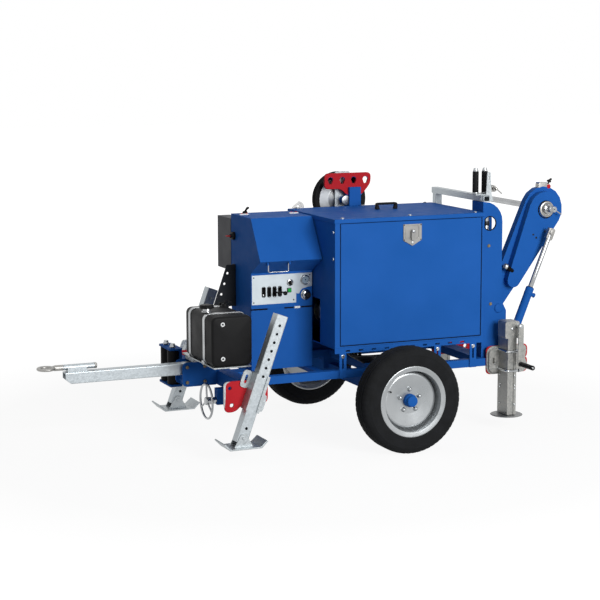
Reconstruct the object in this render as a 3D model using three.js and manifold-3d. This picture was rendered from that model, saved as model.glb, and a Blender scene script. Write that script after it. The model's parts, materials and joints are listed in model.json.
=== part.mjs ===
// A trailer-mounted hydraulic puller with bull-wheel capstans and a self-loading reel winder.
// Millimetres, +Z up. X runs along the trailer, with the drawbar towards -X and the reel arm
// towards +X. The wheel axle lies on X = 0, the centreline on Y = 0 and the ground on Z = 0.
import * as THREE from 'three';
import { mergeVertices } from 'three/addons/utils/BufferGeometryUtils.js';
import Module from 'manifold-3d';

const wasm = await Module();
wasm.setup();

// Driving sizes of the whole machine
const clearance = 0.3;
const overrun = 5;
const weld = 1;
const tyreRadius = 278;
const tyreWidth = 146;
const wheelTrack = 1314;
const rimLipRadius = 185;
const railReach = 316;
const railTop = 386;
const railHeight = 42;
const railWidth = 40;
const consoleFloor = 366;
const consoleLength = 354;
const hoodLength = 887;
const hoodNear = -324;
const hoodFar = 303;
const hoodFront = -262;
const hoodFloor = 508;
const hoodTop = 1190;
const consoleDrop = 7;
const consoleTop = hoodTop - consoleDrop;
const lidOverhang = 4;
const sheet = 3;
const plateThickness = 8;
const boltRadius = 9;
const boltHead = 5;
const hoodRear = hoodFront + hoodLength;

// Small tools for outlines and solids
const arc = (u, v, radius, start, end, steps) => Array.from({ length: steps + 1 }, (_, step) => {
  const angle = THREE.MathUtils.degToRad(start + ((end - start) * step) / steps);
  return [u + radius * Math.cos(angle), v + radius * Math.sin(angle)];
});

const circle = (u, v, radius, steps = 12) => arc(u, v, radius, 0, 360, steps).slice(0, steps);

const rounded = (u0, u1, v0, v1, radius, steps = 2) => [
  ...arc(u1 - radius, v0 + radius, radius, -90, 0, steps),
  ...arc(u1 - radius, v1 - radius, radius, 0, 90, steps),
  ...arc(u0 + radius, v1 - radius, radius, 90, 180, steps),
  ...arc(u0 + radius, v0 + radius, radius, 180, 270, steps),
];

// The outline round two circles, each given as [u, v, radius]
const strap = ([u0, v0, r0], [u1, v1, r1], steps = 6) => {
  const run = Math.hypot(u1 - u0, v1 - v0);
  const heading = THREE.MathUtils.radToDeg(Math.atan2(v1 - v0, u1 - u0));
  const spread = THREE.MathUtils.radToDeg(Math.acos((r0 - r1) / run));
  return [
    ...arc(u1, v1, r1, heading - spread, heading + spread, steps),
    ...arc(u0, v0, r0, heading + spread, heading + 360 - spread, steps),
  ];
};

const solidOf = (geometry) => {
  geometry.deleteAttribute('normal');
  geometry.deleteAttribute('uv');
  const merged = mergeVertices(geometry, 1e-4);
  const vertProperties = new Float32Array(merged.attributes.position.array);
  const triVerts = new Uint32Array(merged.index.array);
  return new wasm.Manifold(new wasm.Mesh({ numProp: 3, vertProperties, triVerts }));
};

const geometryOf = (solid) => {
  const mesh = solid.getMesh();
  const geometry = new THREE.BufferGeometry();
  geometry.setAttribute('position', new THREE.BufferAttribute(new Float32Array(mesh.vertProperties), 3));
  geometry.setIndex(new THREE.BufferAttribute(new Uint32Array(mesh.triVerts), 1));
  geometry.computeVertexNormals();
  return geometry;
};

const planes = {
  xy: new THREE.Matrix4(),
  xz: new THREE.Matrix4().makeBasis(
    new THREE.Vector3(1, 0, 0), new THREE.Vector3(0, 0, 1), new THREE.Vector3(0, -1, 0)),
  yz: new THREE.Matrix4().makeBasis(
    new THREE.Vector3(0, 1, 0), new THREE.Vector3(0, 0, 1), new THREE.Vector3(1, 0, 0)),
};

const drawn = (points) => new THREE.Shape(points.map(([u, v]) => new THREE.Vector2(u, v)));

// A flat outline with holes, as thick as the run between two places on the third axis
const slab = (plane, outline, from, to, holes = []) => {
  const shape = drawn(outline);
  shape.holes = holes.map(drawn);
  const low = Math.min(from, to);
  const high = Math.max(from, to);
  const geometry = new THREE.ExtrudeGeometry(shape, { depth: high - low, bevelEnabled: false });
  geometry.translate(0, 0, plane === 'xz' ? -high : low);
  geometry.applyMatrix4(planes[plane]);
  return solidOf(geometry);
};

const block = (x0, x1, y0, y1, z0, z1) => {
  const geometry = new THREE.BoxGeometry(Math.abs(x1 - x0), Math.abs(y1 - y0), Math.abs(z1 - z0));
  geometry.translate((x0 + x1) / 2, (y0 + y1) / 2, (z0 + z1) / 2);
  return solidOf(geometry);
};

// A bore drawn with flats that still clears a round pin by the clearance
const boreSides = 12;
const pinBore = (radius) => (radius + clearance) / Math.cos(Math.PI / boreSides);

const axisPlane = { x: 'yz', y: 'xz', z: 'xy' };

// A round bar along an axis; u and v are its centre on the two other axes
const bar = (axis, from, to, u, v, radius, steps = 12) => (
  slab(axisPlane[axis], circle(u, v, radius, steps), from, to));

// A profile of [radius, place along the axis] turned round that axis
const turned = (axis, profile, u, v, steps = 24) => {
  const points = profile.map(([radius, along]) => new THREE.Vector2(radius, along));
  const geometry = new THREE.LatheGeometry(points, steps);
  if (axis === 'z') geometry.rotateX(Math.PI / 2);
  if (axis === 'x') geometry.rotateZ(-Math.PI / 2);
  if (axis === 'y') geometry.translate(u, 0, v);
  if (axis === 'x') geometry.translate(0, u, v);
  if (axis === 'z') geometry.translate(u, v, 0);
  const solid = solidOf(geometry);
  if (solid.volume() > 0) return solid;
  geometry.index.array.reverse();
  return solidOf(geometry);
};

const closed = (profile) => [...profile, profile[0]];
const join = (first, ...others) => others.reduce((sum, other) => sum.add(other), first);
const cut = (first, ...others) => others.reduce((sum, other) => sum.subtract(other), first);

// A solid turned about the Y axis and then moved
const leaned = (solid, angle, x, y, z) => {
  const geometry = geometryOf(solid);
  geometry.rotateY(angle);
  geometry.translate(x, y, z);
  return solidOf(geometry);
};

// A round bar between two points
const strut = (from, to, radius, steps = 12) => {
  const start = new THREE.Vector3(...from);
  const run = new THREE.Vector3(...to).sub(start);
  const geometry = new THREE.CylinderGeometry(radius, radius, run.length(), steps);
  geometry.translate(0, run.length() / 2, 0);
  const up = new THREE.Vector3(0, 1, 0);
  geometry.applyQuaternion(new THREE.Quaternion().setFromUnitVectors(up, run.normalize()));
  geometry.translate(start.x, start.y, start.z);
  return solidOf(geometry);
};

const finishes = {
  blue: { color: '#1f57a8', roughness: 0.45, metalness: 0 },
  galvanised: { color: '#b9bdbf', roughness: 0.45, metalness: 0.9 },
  steel: { color: '#9b9ea1', roughness: 0.3, metalness: 1 },
  chrome: { color: '#d7d9dc', roughness: 0.12, metalness: 1 },
  red: { color: '#c2242b', roughness: 0.45, metalness: 0 },
  black: { color: '#1a1a1b', roughness: 0.5, metalness: 0 },
  rubber: { color: '#1b1b1c', roughness: 0.85, metalness: 0 },
  silver: { color: '#c4c8ca', roughness: 0.5, metalness: 0.4 },
  white: { color: '#e8e9ea', roughness: 0.5, metalness: 0 },
  green: { color: '#1d9a3c', roughness: 0.4, metalness: 0 },
  grey: { color: '#626466', roughness: 0.6, metalness: 0.2 },
};

const machine = new THREE.Group();

const piece = (name, solid, finish, parent = machine) => {
  const mesh = new THREE.Mesh(geometryOf(solid), new THREE.MeshStandardMaterial(finishes[finish]));
  mesh.name = name;
  parent.add(mesh);
  return mesh;
};

// Chassis: two rails, cross members, the axle, the front cross tube and the bracket of the drawbar
const railFront = -640;
const railRear = 700;
const railFloor = railTop - railHeight;
const crossLength = 44;
const axleSize = 60;
const axleEnd = 600;
const stubRadius = 20;
const stubEnd = wheelTrack / 2 + 8;
const legLean = THREE.MathUtils.degToRad(19.7);
const legBottom = [-864, 130];
const legSize = 62;
const legLength = 648;
const legOffset = 505;
const outriggerHeight = 350;
const outriggerSize = 76;
const outriggerPlace = legBottom[0] + (outriggerHeight - legBottom[1]) * Math.tan(legLean);
const sleeveWall = 6;
const anchorThickness = 10;
const sleeveInner = legOffset - legSize / 2 - clearance - sleeveWall;
const outriggerEnd = sleeveInner - anchorThickness - clearance;
const drawbarSize = 60;
const drawbarFloor = 373;
const bracketFront = -1018;
const bracketRear = -812;
const bracketFloor = 313;
const bracketTop = 442;
const bracketHalf = 60;
const bracketCorner = 22;
const bracketBoltInset = 24;
const guideWall = 8;
const keelHalf = 50;
const keelFloor = 322;
const bedFloor = 478;
const bedFlange = 40;
const bedThickness = 6;
const bearerPlaces = [40, 360];
const bearerHalf = 20;
const mountGap = hoodFloor + plateThickness;
const hangerWidth = 40;
const hangerPlaces = [-215, 347, 565];
const rollerPlaces = [150, 258];
const rollerLine = -1000;
const rollerFloor = 292;
const rollerTop = 478;
const rollerRadius = 30;
const rollerPin = 8;
const rollerPlate = 10;
const rollerMargin = 12;
const wheelSpindle = [-150, 249];
const spindleBlock = 44;
const spindleRadius = 9;

const rail = (side) => block(railFront, railRear, side * (railReach - railWidth), side * railReach, railFloor, railTop);
const crossMember = (x, top) => (
  block(x - crossLength / 2, x + crossLength / 2, -railReach + weld, railReach - weld, railFloor, top));
const consoleRear = hoodFront - lidOverhang - clearance;
const consoleFront = consoleRear - consoleLength;
const crossTop = consoleFloor - clearance;

const slotLength = 26;
const slotHeight = 9;
const slotPitch = 76;

const engineBed = () => {
  const top = hoodFloor - clearance;
  const ring = slab('xy', rounded(hoodFront, hoodRear, hoodNear, hoodFar, sheet), top - bedThickness, top, [
    rounded(hoodFront + bedFlange, hoodRear - bedFlange, hoodNear + bedFlange, hoodFar - bedFlange, sheet),
  ]);
  const skirts = [hoodNear, hoodFar - bedThickness].map((y) => (
    block(hoodFront, hoodRear, y, y + bedThickness, bedFloor, top)));
  const slots = [];
  const slotMiddle = (bedFloor + top - bedThickness) / 2;
  const slotCount = Math.floor((hoodLength - slotPitch) / slotPitch);
  for (let index = 0; index < slotCount; index += 1) {
    const x = hoodFront + slotPitch * (index + 1);
    slots.push(block(x - slotLength / 2, x + slotLength / 2, hoodNear - overrun, hoodNear + bedThickness + overrun,
      slotMiddle - slotHeight / 2, slotMiddle + slotHeight / 2));
  }
  const inset = bedFlange / 2;
  const bearers = bearerPlaces.map((x) => block(x - bearerHalf, x + bearerHalf, hoodNear + inset,
    hoodFar - inset, top - bedThickness, mountGap));
  return cut(join(ring, ...skirts, ...bearers), ...slots);
};

const hangerSlot = 10;

const hanger = (x, side) => {
  const outer = side < 0 ? hoodNear : hoodFar;
  const face = side * (railReach + plateThickness - weld);
  const inner = Math.min(Math.abs(face), Math.abs(outer)) - bedThickness;
  const far = Math.max(Math.abs(face), Math.abs(outer));
  const slotEnds = [railTop + hangerSlot, bedFloor - hangerSlot];
  const bodyPlate = block(x - hangerWidth / 2, x + hangerWidth / 2, side * inner, side * far,
    railFloor, bedFloor + weld);
  const slot = block(x - hangerSlot / 2, x + hangerSlot / 2, side * (inner - overrun), side * (far + overrun),
    slotEnds[0], slotEnds[1]);
  return cut(bodyPlate, slot);
};

const drawbarBracket = () => {
  const outline = rounded(bracketFront, bracketRear, bracketFloor, bracketTop, bracketCorner);
  const cheeks = [-1, 1].map((side) => (
    slab('xz', outline, side * bracketHalf, side * (bracketHalf - plateThickness))));
  const seatTop = drawbarFloor - clearance;
  const half = drawbarSize / 2 + clearance;
  const floorFront = bracketFront + bracketCorner;
  const floor = block(floorFront, bracketRear - bracketCorner, -bracketHalf + weld, bracketHalf - weld,
    bracketFloor, bracketFloor + plateThickness);
  const seat = block(floorFront, bracketRear - bracketCorner, -half - guideWall, half + guideWall,
    bracketFloor, seatTop);
  const guides = [-1, 1].map((side) => block(floorFront, bracketRear - bracketCorner, side * half,
    side * (bracketHalf - weld), bracketFloor, bracketTop - plateThickness));
  const bolts = [];
  for (const x of [bracketFront + bracketBoltInset, bracketRear - bracketBoltInset * 3.5]) {
    for (const z of [bracketFloor + bracketBoltInset, bracketTop - bracketBoltInset]) {
      bolts.push(bar('y', -bracketHalf - boltHead, bracketHalf + boltHead, x, z, boltRadius, 6));
    }
  }
  const shell = join(...cheeks, floor, seat, ...guides, ...bolts);
  return cut(shell, block(bracketFront - overrun, bracketRear + overrun, -half, half,
    seatTop, bracketTop + overrun));
};

const armHeight = 60;

const rollerFrame = () => {
  const near = rollerPlaces[0] - rollerRadius - rollerMargin;
  const far = rollerPlaces[1] + rollerRadius + rollerMargin;
  const back = rollerLine + rollerRadius + rollerMargin;
  const shelf = (z0, z1) => slab('xy', rounded(rollerLine - rollerRadius, back, near, far, rollerMargin), z0, z1);
  const lower = shelf(rollerFloor - rollerPlate, rollerFloor - clearance);
  const upper = shelf(rollerTop + clearance, rollerTop + rollerPlate);
  const spine = block(back - rollerPlate, back, near + rollerMargin, far - rollerMargin,
    rollerFloor - rollerPlate, rollerTop + rollerPlate);
  const windowNear = rollerPlaces[0] + rollerRadius * 0.8;
  const windowFar = rollerPlaces[1] - rollerRadius * 0.8;
  const window = block(back - rollerPlate - overrun, back + overrun, windowNear, windowFar, rollerFloor, rollerTop);
  const pins = rollerPlaces.map((y) => bar('z', rollerFloor - rollerPlate, rollerTop + rollerPlate + boltHead,
    rollerLine, y, rollerPin, 12));
  const armTop = bracketTop - bracketCorner;
  const arm = block(back - weld, back + armHeight, bracketHalf - plateThickness, far - rollerMargin,
    armTop - armHeight, armTop);
  return join(cut(join(lower, upper, spine, arm), window), ...pins);
};

const chassis = () => {
  const axle = block(-axleSize / 2, axleSize / 2, -axleEnd, axleEnd, tyreRadius - axleSize / 2,
    tyreRadius + axleSize / 2);
  const stub = bar('y', -stubEnd, stubEnd, 0, tyreRadius, stubRadius);
  const posts = [-1, 1].map((side) => block(-axleSize, axleSize, side * (railReach - railWidth),
    side * railReach, tyreRadius, railFloor + weld));
  const outrigger = block(outriggerPlace - outriggerSize / 2, outriggerPlace + outriggerSize / 2,
    -outriggerEnd, outriggerEnd, outriggerHeight - outriggerSize / 2, outriggerHeight + outriggerSize / 2);
  const keel = block(bracketRear - bracketCorner * 2, consoleFront + crossLength, -keelHalf, keelHalf,
    keelFloor, crossTop);
  const frontMembers = [-1, 1].map((side) => block(outriggerPlace, railFront + weld,
    side * (railReach - railWidth), side * railReach, railFloor, outriggerHeight + outriggerSize / 2 - weld));
  const spindleX = outriggerPlace - outriggerSize / 2;
  const spindle = block(spindleX - spindleBlock, spindleX + spindleBlock, wheelSpindle[0] - spindleBlock / 2,
    wheelSpindle[0] + spindleBlock / 2, wheelSpindle[1] - spindleBlock / 2,
    outriggerHeight - outriggerSize / 2 + weld);
  const spindleBore = bar('x', spindleX - spindleBlock - overrun, spindleX + spindleBlock + overrun,
    wheelSpindle[0], wheelSpindle[1], pinBore(spindleRadius), boreSides);
  const hangers = hangerPlaces.flatMap((x) => [hanger(x, -1), hanger(x, 1)]);
  const tail = block(railRear - crossLength * 2, railRear, -railReach + weld, railReach - weld,
    railFloor, railTop);
  const solid = join(rail(-1), rail(1), crossMember(consoleFront + crossLength / 2, crossTop),
    crossMember(consoleRear - crossLength / 2, crossTop), crossMember(0, railTop), tail, axle, stub,
    ...posts, outrigger, keel, ...frontMembers, spindle, engineBed(), ...hangers, drawbarBracket(),
    rollerFrame());
  return cut(solid, spindleBore);
};

piece('chassis_frame', chassis(), 'blue');

// Engine and pump on two bearers under the hood
const engineFront = -20;
const engineRear = 420;
const engineNear = -150;
const engineFar = 120;
const engineTop = 930;
const sumpDrop = 70;
const crankHeight = 660;
const bellRadius = 150;
const bellLength = 60;
const pumpRadius = 62;
const pumpLength = 150;

const engine = () => {
  const middle = (engineNear + engineFar) / 2;
  const crankcase = block(engineFront, engineRear, engineNear, engineFar, mountGap + sumpDrop, engineTop - sumpDrop);
  const headWidth = (engineFar - engineNear) / 3;
  const head = block(engineFront + sumpDrop / 2, engineRear - sumpDrop / 2, middle - headWidth,
    middle + headWidth, engineTop - sumpDrop - weld, engineTop);
  const bell = turned('x', [[0, 0], [bellRadius * 0.6, 0], [bellRadius, bellLength / 2],
    [bellRadius, bellLength], [0, bellLength]].map(([radius, along]) => [radius, engineFront - bellLength + weld + along]),
  middle, crankHeight, 16);
  const pulley = bar('x', engineRear - weld, engineRear + bellLength / 2, middle, crankHeight, bellRadius / 2, 12);
  const feet = bearerPlaces.flatMap((x) => [engineNear, engineFar].map((y) => block(x - bearerHalf,
    x + bearerHalf, y - bearerHalf, y + bearerHalf, mountGap + clearance, mountGap + sumpDrop + weld)));
  return join(crankcase, head, bell, pulley, ...feet);
};

const pumpCentre = (engineNear + engineFar) / 2;
const pump = () => {
  const face = engineFront - bellLength + weld - clearance;
  const profile = [[0, 0], [pumpRadius * 0.7, 0], [pumpRadius, pumpLength * 0.25], [pumpRadius, pumpLength * 0.85],
    [pumpRadius * 1.2, pumpLength * 0.85], [pumpRadius * 1.2, pumpLength], [0, pumpLength]];
  const body = turned('x', profile.map(([radius, along]) => [radius, face - pumpLength + along]),
    pumpCentre, crankHeight, 12);
  const portWidth = pumpRadius / 2;
  const port = block(face - pumpLength / 2 - portWidth, face - pumpLength / 2 + portWidth,
    pumpCentre - portWidth, pumpCentre + portWidth, crankHeight, crankHeight + pumpRadius * 1.3);
  return join(body, port);
};

piece('engine_block', engine(), 'grey');
piece('hydraulic_pump', pump(), 'steel');

// Hood: four walls of folded sheet, open at the top for the lid and on the near side for the door
const lidThickness = 3;
const lidSkirt = 22;
const flange = 22;
const wallTop = hoodTop - lidThickness - clearance;
const doorFront = hoodFront + 33;
const doorRear = hoodRear - 18;
const doorDrop = 25;
const doorTop = hoodTop - doorDrop;
const doorFloor = hoodFloor + 12;
const doorDepth = 16;
const doorGap = 0.6;
const mouthHeight = 745;
const mouthNear = -131;
const windowMargin = 40;

const hood = () => {
  const outer = block(hoodFront, hoodRear, hoodNear, hoodFar, hoodFloor, wallTop);
  const room = block(hoodFront + sheet, hoodRear - sheet, hoodNear + sheet, hoodFar - sheet,
    hoodFloor - overrun, wallTop - sheet);
  const topHole = block(hoodFront + flange, hoodRear - flange, hoodNear + flange, hoodFar - flange,
    wallTop - sheet * 2, wallTop + overrun);
  const doorHole = block(doorFront, doorRear, hoodNear - overrun, hoodNear + sheet + overrun, doorFloor, doorTop);
  const mouth = block(hoodFront - overrun, hoodFront + sheet + overrun, mouthNear, hoodFar - windowMargin,
    hoodFloor - overrun, mouthHeight);
  return cut(outer, room, topHole, doorHole, mouth);
};

piece('hood_shell', hood(), 'blue');

const lidHandlePlaces = [156, 286];
const lidHandleLine = 60;
const lidHandleHeight = 37;
const lidHandleWidth = 22;
const lidHandleThickness = 12;

const lid = () => {
  const near = hoodNear - lidOverhang;
  const front = hoodFront - lidOverhang;
  const rear = hoodRear + lidOverhang;
  const floor = hoodTop - lidSkirt;
  const far = hoodFar + lidOverhang;
  const hollow = block(front + sheet, rear - sheet, near + sheet, far - sheet, floor - overrun, hoodTop - lidThickness);
  const pan = cut(block(front, rear, near, far, floor, hoodTop), hollow);
  const boltLine = near + flange;
  const bolts = [0.06, 0.5, 0.94].map((share) => bar('z', hoodTop - weld, hoodTop + boltHead,
    front + (rear - front) * share, boltLine, boltRadius, 6));
  return join(pan, ...bolts);
};

const lidHandle = () => {
  const [x0, x1] = lidHandlePlaces;
  const floor = hoodTop + clearance;
  const outline = [...arc(x1 - lidHandleThickness, floor + lidHandleHeight - lidHandleThickness,
    lidHandleThickness, 0, 90, 3), ...arc(x0 + lidHandleThickness, floor + lidHandleHeight - lidHandleThickness,
    lidHandleThickness, 90, 180, 3)];
  const feet = lidHandleThickness * 1.2;
  const inner = floor + lidHandleHeight - lidHandleThickness;
  return slab('xz', [[x1, floor], ...outline, [x0, floor], [x0 + feet * 1.6, floor], [x0 + feet, inner],
    [x1 - feet, inner], [x1 - feet * 1.6, floor]], lidHandleLine - lidHandleWidth / 2,
  lidHandleLine + lidHandleWidth / 2);
};

piece('hood_lid', lid(), 'blue');
piece('lid_handle', lidHandle(), 'black');

// Side door with its pentagonal latch plate and T-handle, hinged along its lower edge
const latchMiddle = 188;
const latchWidth = 108;
const latchTop = 1147;
const latchShoulder = 1061;
const latchPoint = 1032;
const latchThickness = 3;
const latchPin = 8;
const latchGripHeight = 44;
const latchPivot = (latchTop + latchShoulder) / 2;
const doorFace = hoodNear;

const door = () => {
  const x0 = doorFront + doorGap;
  const x1 = doorRear - doorGap;
  const z0 = doorFloor + doorGap;
  const z1 = doorTop - doorGap;
  const pan = block(x0, x1, doorFace, doorFace + doorDepth, z0, z1);
  const hollow = block(x0 + sheet, x1 - sheet, doorFace + sheet, doorFace + doorDepth + overrun, z0 + sheet, z1 - sheet);
  const bore = bar('y', doorFace - overrun, doorFace + sheet + overrun, latchMiddle, latchPivot, pinBore(latchPin), boreSides);
  const outline = [[latchMiddle - latchWidth / 2, latchShoulder], [latchMiddle, latchPoint],
    [latchMiddle + latchWidth / 2, latchShoulder], [latchMiddle + latchWidth / 2, latchTop],
    [latchMiddle - latchWidth / 2, latchTop]];
  const plate = slab('xz', outline, doorFace - latchThickness, doorFace + weld);
  return cut(join(cut(pan, hollow), plate), bore);
};

const latch = () => {
  const front = doorFace - latchThickness - clearance;
  const pin = bar('y', front - weld, doorFace + doorDepth, latchMiddle, latchPivot, latchPin, 8);
  const grip = slab('xz', rounded(latchMiddle - latchPin * 1.4, latchMiddle + latchPin * 1.4,
    latchPivot - latchGripHeight, latchPivot + latchPin * 1.4, latchPin, 3), front - latchPin * 1.5, front);
  return join(pin, grip);
};

piece('side_door', door(), 'blue');
piece('door_latch', latch(), 'galvanised');

// Control cabinet: a folded column with a hinged sloping cover above the control plate
const consoleNear = -36;
const consoleFar = 255;
const visorReach = 133;
const visorHeight = 966;
const visorFloor = 890;
const panelFloor = 720;
const panelTop = 878;
const panelThickness = 2;
const pocketDepth = 46;
const seamHeight = 690;
const seamDepth = 10;
const seamRise = 8;
const leverPlaces = [-549, -518, -487, -456];
const leverSlotWidth = 14;
const leverSlotFloor = 760;
const leverSlotTop = 812;
const leverRadius = 4;
const leverBall = 11;
const leverReach = 84;
const leverPivotDepth = 16;
const gaugePlace = [-310, 841];
const gaugeRadius = 25;
const gaugeDepth = 12;
const keyPlace = [-397, 830];
const keyRadius = 11;
const buttonPlace = [-402, 789];
const buttonSize = 20;
const buttonTravel = 4;
const buttonProud = 9;
const knobPlace = [-306, 760];
const knobRadius = 15;
const knobReach = 42;
const knobPin = 6;
const isolatorPlace = [207, 1067];
const isolatorRadius = 22;
const isolatorDepth = 14;
const isolatorPin = 6;
const clampPlace = [-560, 200];
const clampPin = 8;
const clampHeight = 14;
const clampReach = 118;
const clampThickness = 14;

const consoleHoles = () => {
  const pocket = block(leverPlaces[0] - leverSlotWidth, leverPlaces[3] + leverSlotWidth, consoleNear - overrun,
    consoleNear + pocketDepth, leverSlotFloor - overrun, leverSlotTop + overrun);
  const bores = [[keyPlace, keyRadius * 0.6], [knobPlace, knobPin], [gaugePlace, gaugeRadius * 0.3]].map(
    ([[x, z], radius]) => bar('y', consoleNear - overrun, consoleNear + pocketDepth / 2, x, z, pinBore(radius), boreSides));
  const half = buttonSize / 2 + clearance;
  const buttonHole = block(buttonPlace[0] - half, buttonPlace[0] + half, consoleNear - overrun,
    consoleNear + pocketDepth / 2, buttonPlace[1] - half, buttonPlace[1] + half);
  const isolatorBore = bar('x', consoleFront - overrun, consoleFront + pocketDepth / 2,
    isolatorPlace[0], isolatorPlace[1], pinBore(isolatorPin), boreSides);
  const clampBore = bar('z', consoleTop - pocketDepth / 2, consoleTop + overrun,
    clampPlace[0], clampPlace[1], pinBore(clampPin), boreSides);
  return [pocket, ...bores, buttonHole, isolatorBore, clampBore];
};

const leverPivot = [consoleNear + leverPivotDepth, (leverSlotFloor + leverSlotTop) / 2];

const consoleBody = () => {
  const body = block(consoleFront, consoleRear, consoleNear, consoleFar, consoleFloor, consoleTop);
  const shaft = bar('x', leverPlaces[0] - leverSlotWidth - weld, leverPlaces[3] + leverSlotWidth + weld,
    leverPivot[0], leverPivot[1], leverRadius, 8);
  const seam = block(consoleFront - overrun, consoleRear + overrun, consoleNear - overrun,
    consoleNear + seamDepth, seamHeight, seamHeight + seamRise);
  return join(cut(body, seam, ...consoleHoles()), shaft);
};

piece('control_cabinet', consoleBody(), 'blue');

const stepUp = 803;
const stepMiddle = 769;
const stepIn = 93;

const controlPanel = () => {
  const x0 = consoleFront + panelThickness * 2;
  const x1 = consoleRear - panelThickness;
  const face = consoleNear - clearance;
  const outline = [[x0, panelFloor], [x1 - stepIn, panelFloor], [x1 - stepIn, stepMiddle],
    ...arc(knobPlace[0], knobPlace[1], x1 - knobPlace[0], 168, 95, 5), [x1, stepUp + panelThickness], [x1, panelTop],
    [x0, panelTop]];
  const slots = leverPlaces.map((x) => rounded(x - leverSlotWidth / 2, x + leverSlotWidth / 2,
    leverSlotFloor, leverSlotTop, leverSlotWidth / 2.2, 2));
  const half = buttonSize / 2 + clearance;
  const holes = [circle(keyPlace[0], keyPlace[1], pinBore(keyRadius * 0.6), boreSides), rounded(buttonPlace[0] - half,
    buttonPlace[0] + half, buttonPlace[1] - half, buttonPlace[1] + half, sheet, 2)];
  const plate = slab('xz', outline, face - panelThickness, face, [...slots, ...holes]);
  const dial = bar('y', face - gaugeDepth, face, gaugePlace[0], gaugePlace[1], gaugeRadius, 16);
  const dialHollow = bar('y', face - gaugeDepth - overrun, face - gaugeDepth / 2, gaugePlace[0], gaugePlace[1],
    gaugeRadius * 0.86, 24);
  const needleBore = bar('y', face - gaugeDepth - overrun, face + overrun, gaugePlace[0], gaugePlace[1],
    pinBore(gaugeRadius * 0.1), boreSides);
  return cut(join(plate, dial), dialHollow, needleBore);
};

piece('control_panel', controlPanel(), 'silver');

const needle = () => {
  const face = consoleNear - clearance - gaugeDepth / 2 - clearance;
  const thickness = gaugeDepth / 8;
  const radius = gaugeRadius * 0.1;
  const pin = bar('y', face - thickness, consoleNear + weld, gaugePlace[0], gaugePlace[1], radius, 8);
  const pointer = strap([gaugePlace[0], gaugePlace[1], radius * 1.3], [gaugePlace[0] - gaugeRadius * 0.5,
    gaugePlace[1] - gaugeRadius * 0.45, radius * 0.4], 4);
  return join(pin, slab('xz', pointer, face - thickness, face));
};

piece('gauge_needle', needle(), 'black');

const lever = (x) => {
  const [pivotY, pivotZ] = leverPivot;
  const hub = bar('x', x - leverSlotWidth / 2, x + leverSlotWidth / 2, pivotY, pivotZ, leverRadius * 2.2, 10);
  const stem = bar('y', pivotY, consoleNear - leverReach, x, pivotZ, leverRadius, 8);
  const ballProfile = arc(0, consoleNear - leverReach, leverBall, -90, 90, 5);
  const bore = bar('x', x - leverSlotWidth, x + leverSlotWidth, pivotY, pivotZ, pinBore(leverRadius), boreSides);
  return cut(join(hub, stem, turned('y', ballProfile, x, pivotZ, 8)), bore);
};

leverPlaces.slice(2).forEach((x, index) => piece(`control_lever_${index + 1}`, lever(x), 'black'));

const keySwitch = () => {
  const front = consoleNear - clearance - panelThickness - clearance;
  const rose = bar('y', front - sheet, front, keyPlace[0], keyPlace[1], keyRadius, 12);
  const barrel = bar('y', front - sheet, consoleNear + pocketDepth / 3, keyPlace[0], keyPlace[1], keyRadius * 0.6, 8);
  const bow = slab('xz', circle(keyPlace[0], keyPlace[1], keyRadius * 0.9, 8), front - sheet * 3, front - sheet + weld / 2);
  const slim = block(keyPlace[0] - sheet / 2, keyPlace[0] + sheet / 2, front - sheet * 5, front - sheet,
    keyPlace[1] - keyRadius, keyPlace[1] + keyRadius);
  return join(rose, barrel, bow, slim);
};

piece('key_switch', keySwitch(), 'chrome');

const startButton = () => {
  const half = buttonSize / 2;
  const stem = half - sheet;
  const front = consoleNear - clearance - panelThickness - buttonProud;
  const cap = slab('xz', rounded(buttonPlace[0] - half, buttonPlace[0] + half, buttonPlace[1] - half,
    buttonPlace[1] + half, sheet, 2), front, front + buttonProud - clearance);
  const shank = block(buttonPlace[0] - stem, buttonPlace[0] + stem, front + sheet, consoleNear + buttonTravel,
    buttonPlace[1] - stem, buttonPlace[1] + stem);
  return join(cap, shank);
};

piece('start_button', startButton(), 'green');

const valveKnob = () => {
  const front = consoleNear - clearance;
  const profile = [[0, 0], [knobRadius * 1.5, 0], [knobRadius * 1.5, knobReach * 0.12], [knobRadius * 0.9,
    knobReach * 0.3], [knobRadius * 0.7, knobReach * 0.55], [knobRadius, knobReach * 0.6], [knobRadius, knobReach * 0.95],
  [knobRadius * 0.85, knobReach], [0, knobReach]];
  const body = turned('y', profile.map(([radius, along]) => [radius, front - along]), knobPlace[0], knobPlace[1], 12);
  const pin = bar('y', front - weld, consoleNear + pocketDepth / 3, knobPlace[0], knobPlace[1], knobPin, 8);
  return join(body, pin);
};

piece('valve_knob', valveKnob(), 'black');

const isolator = () => {
  const face = consoleFront - clearance;
  const [y, z] = isolatorPlace;
  const disc = bar('x', face - isolatorDepth, face, y, z, isolatorRadius, 12);
  const boss = bar('x', face - isolatorDepth * 2, face, y, z, isolatorRadius / 2, 12);
  const pin = bar('x', face - weld, consoleFront + pocketDepth / 3, y, z, isolatorPin, 8);
  const key = block(face - isolatorDepth * 3.4, face - isolatorDepth * 2 + weld, y - isolatorRadius * 0.6,
    y + isolatorRadius * 0.6, z - sheet, z + sheet);
  return join(disc, boss, pin, key);
};

piece('battery_isolator', isolator(), 'black');

const clampLever = () => {
  const [x, y] = clampPlace;
  const floor = consoleTop + clearance;
  const hub = bar('z', floor, floor + clampHeight, x, y, clampPin * 1.8, 10);
  const pin = bar('z', consoleTop - pocketDepth / 3, floor + weld, x, y, clampPin, 8);
  const rise = clampHeight * 2.6;
  const arm = strut([x, y, floor + clampHeight * 0.6], [x, y - clampReach * 0.45, floor + rise], clampThickness / 2, 8);
  return join(hub, pin, arm);
};

piece('clamp_lever', clampLever(), 'black');

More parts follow.
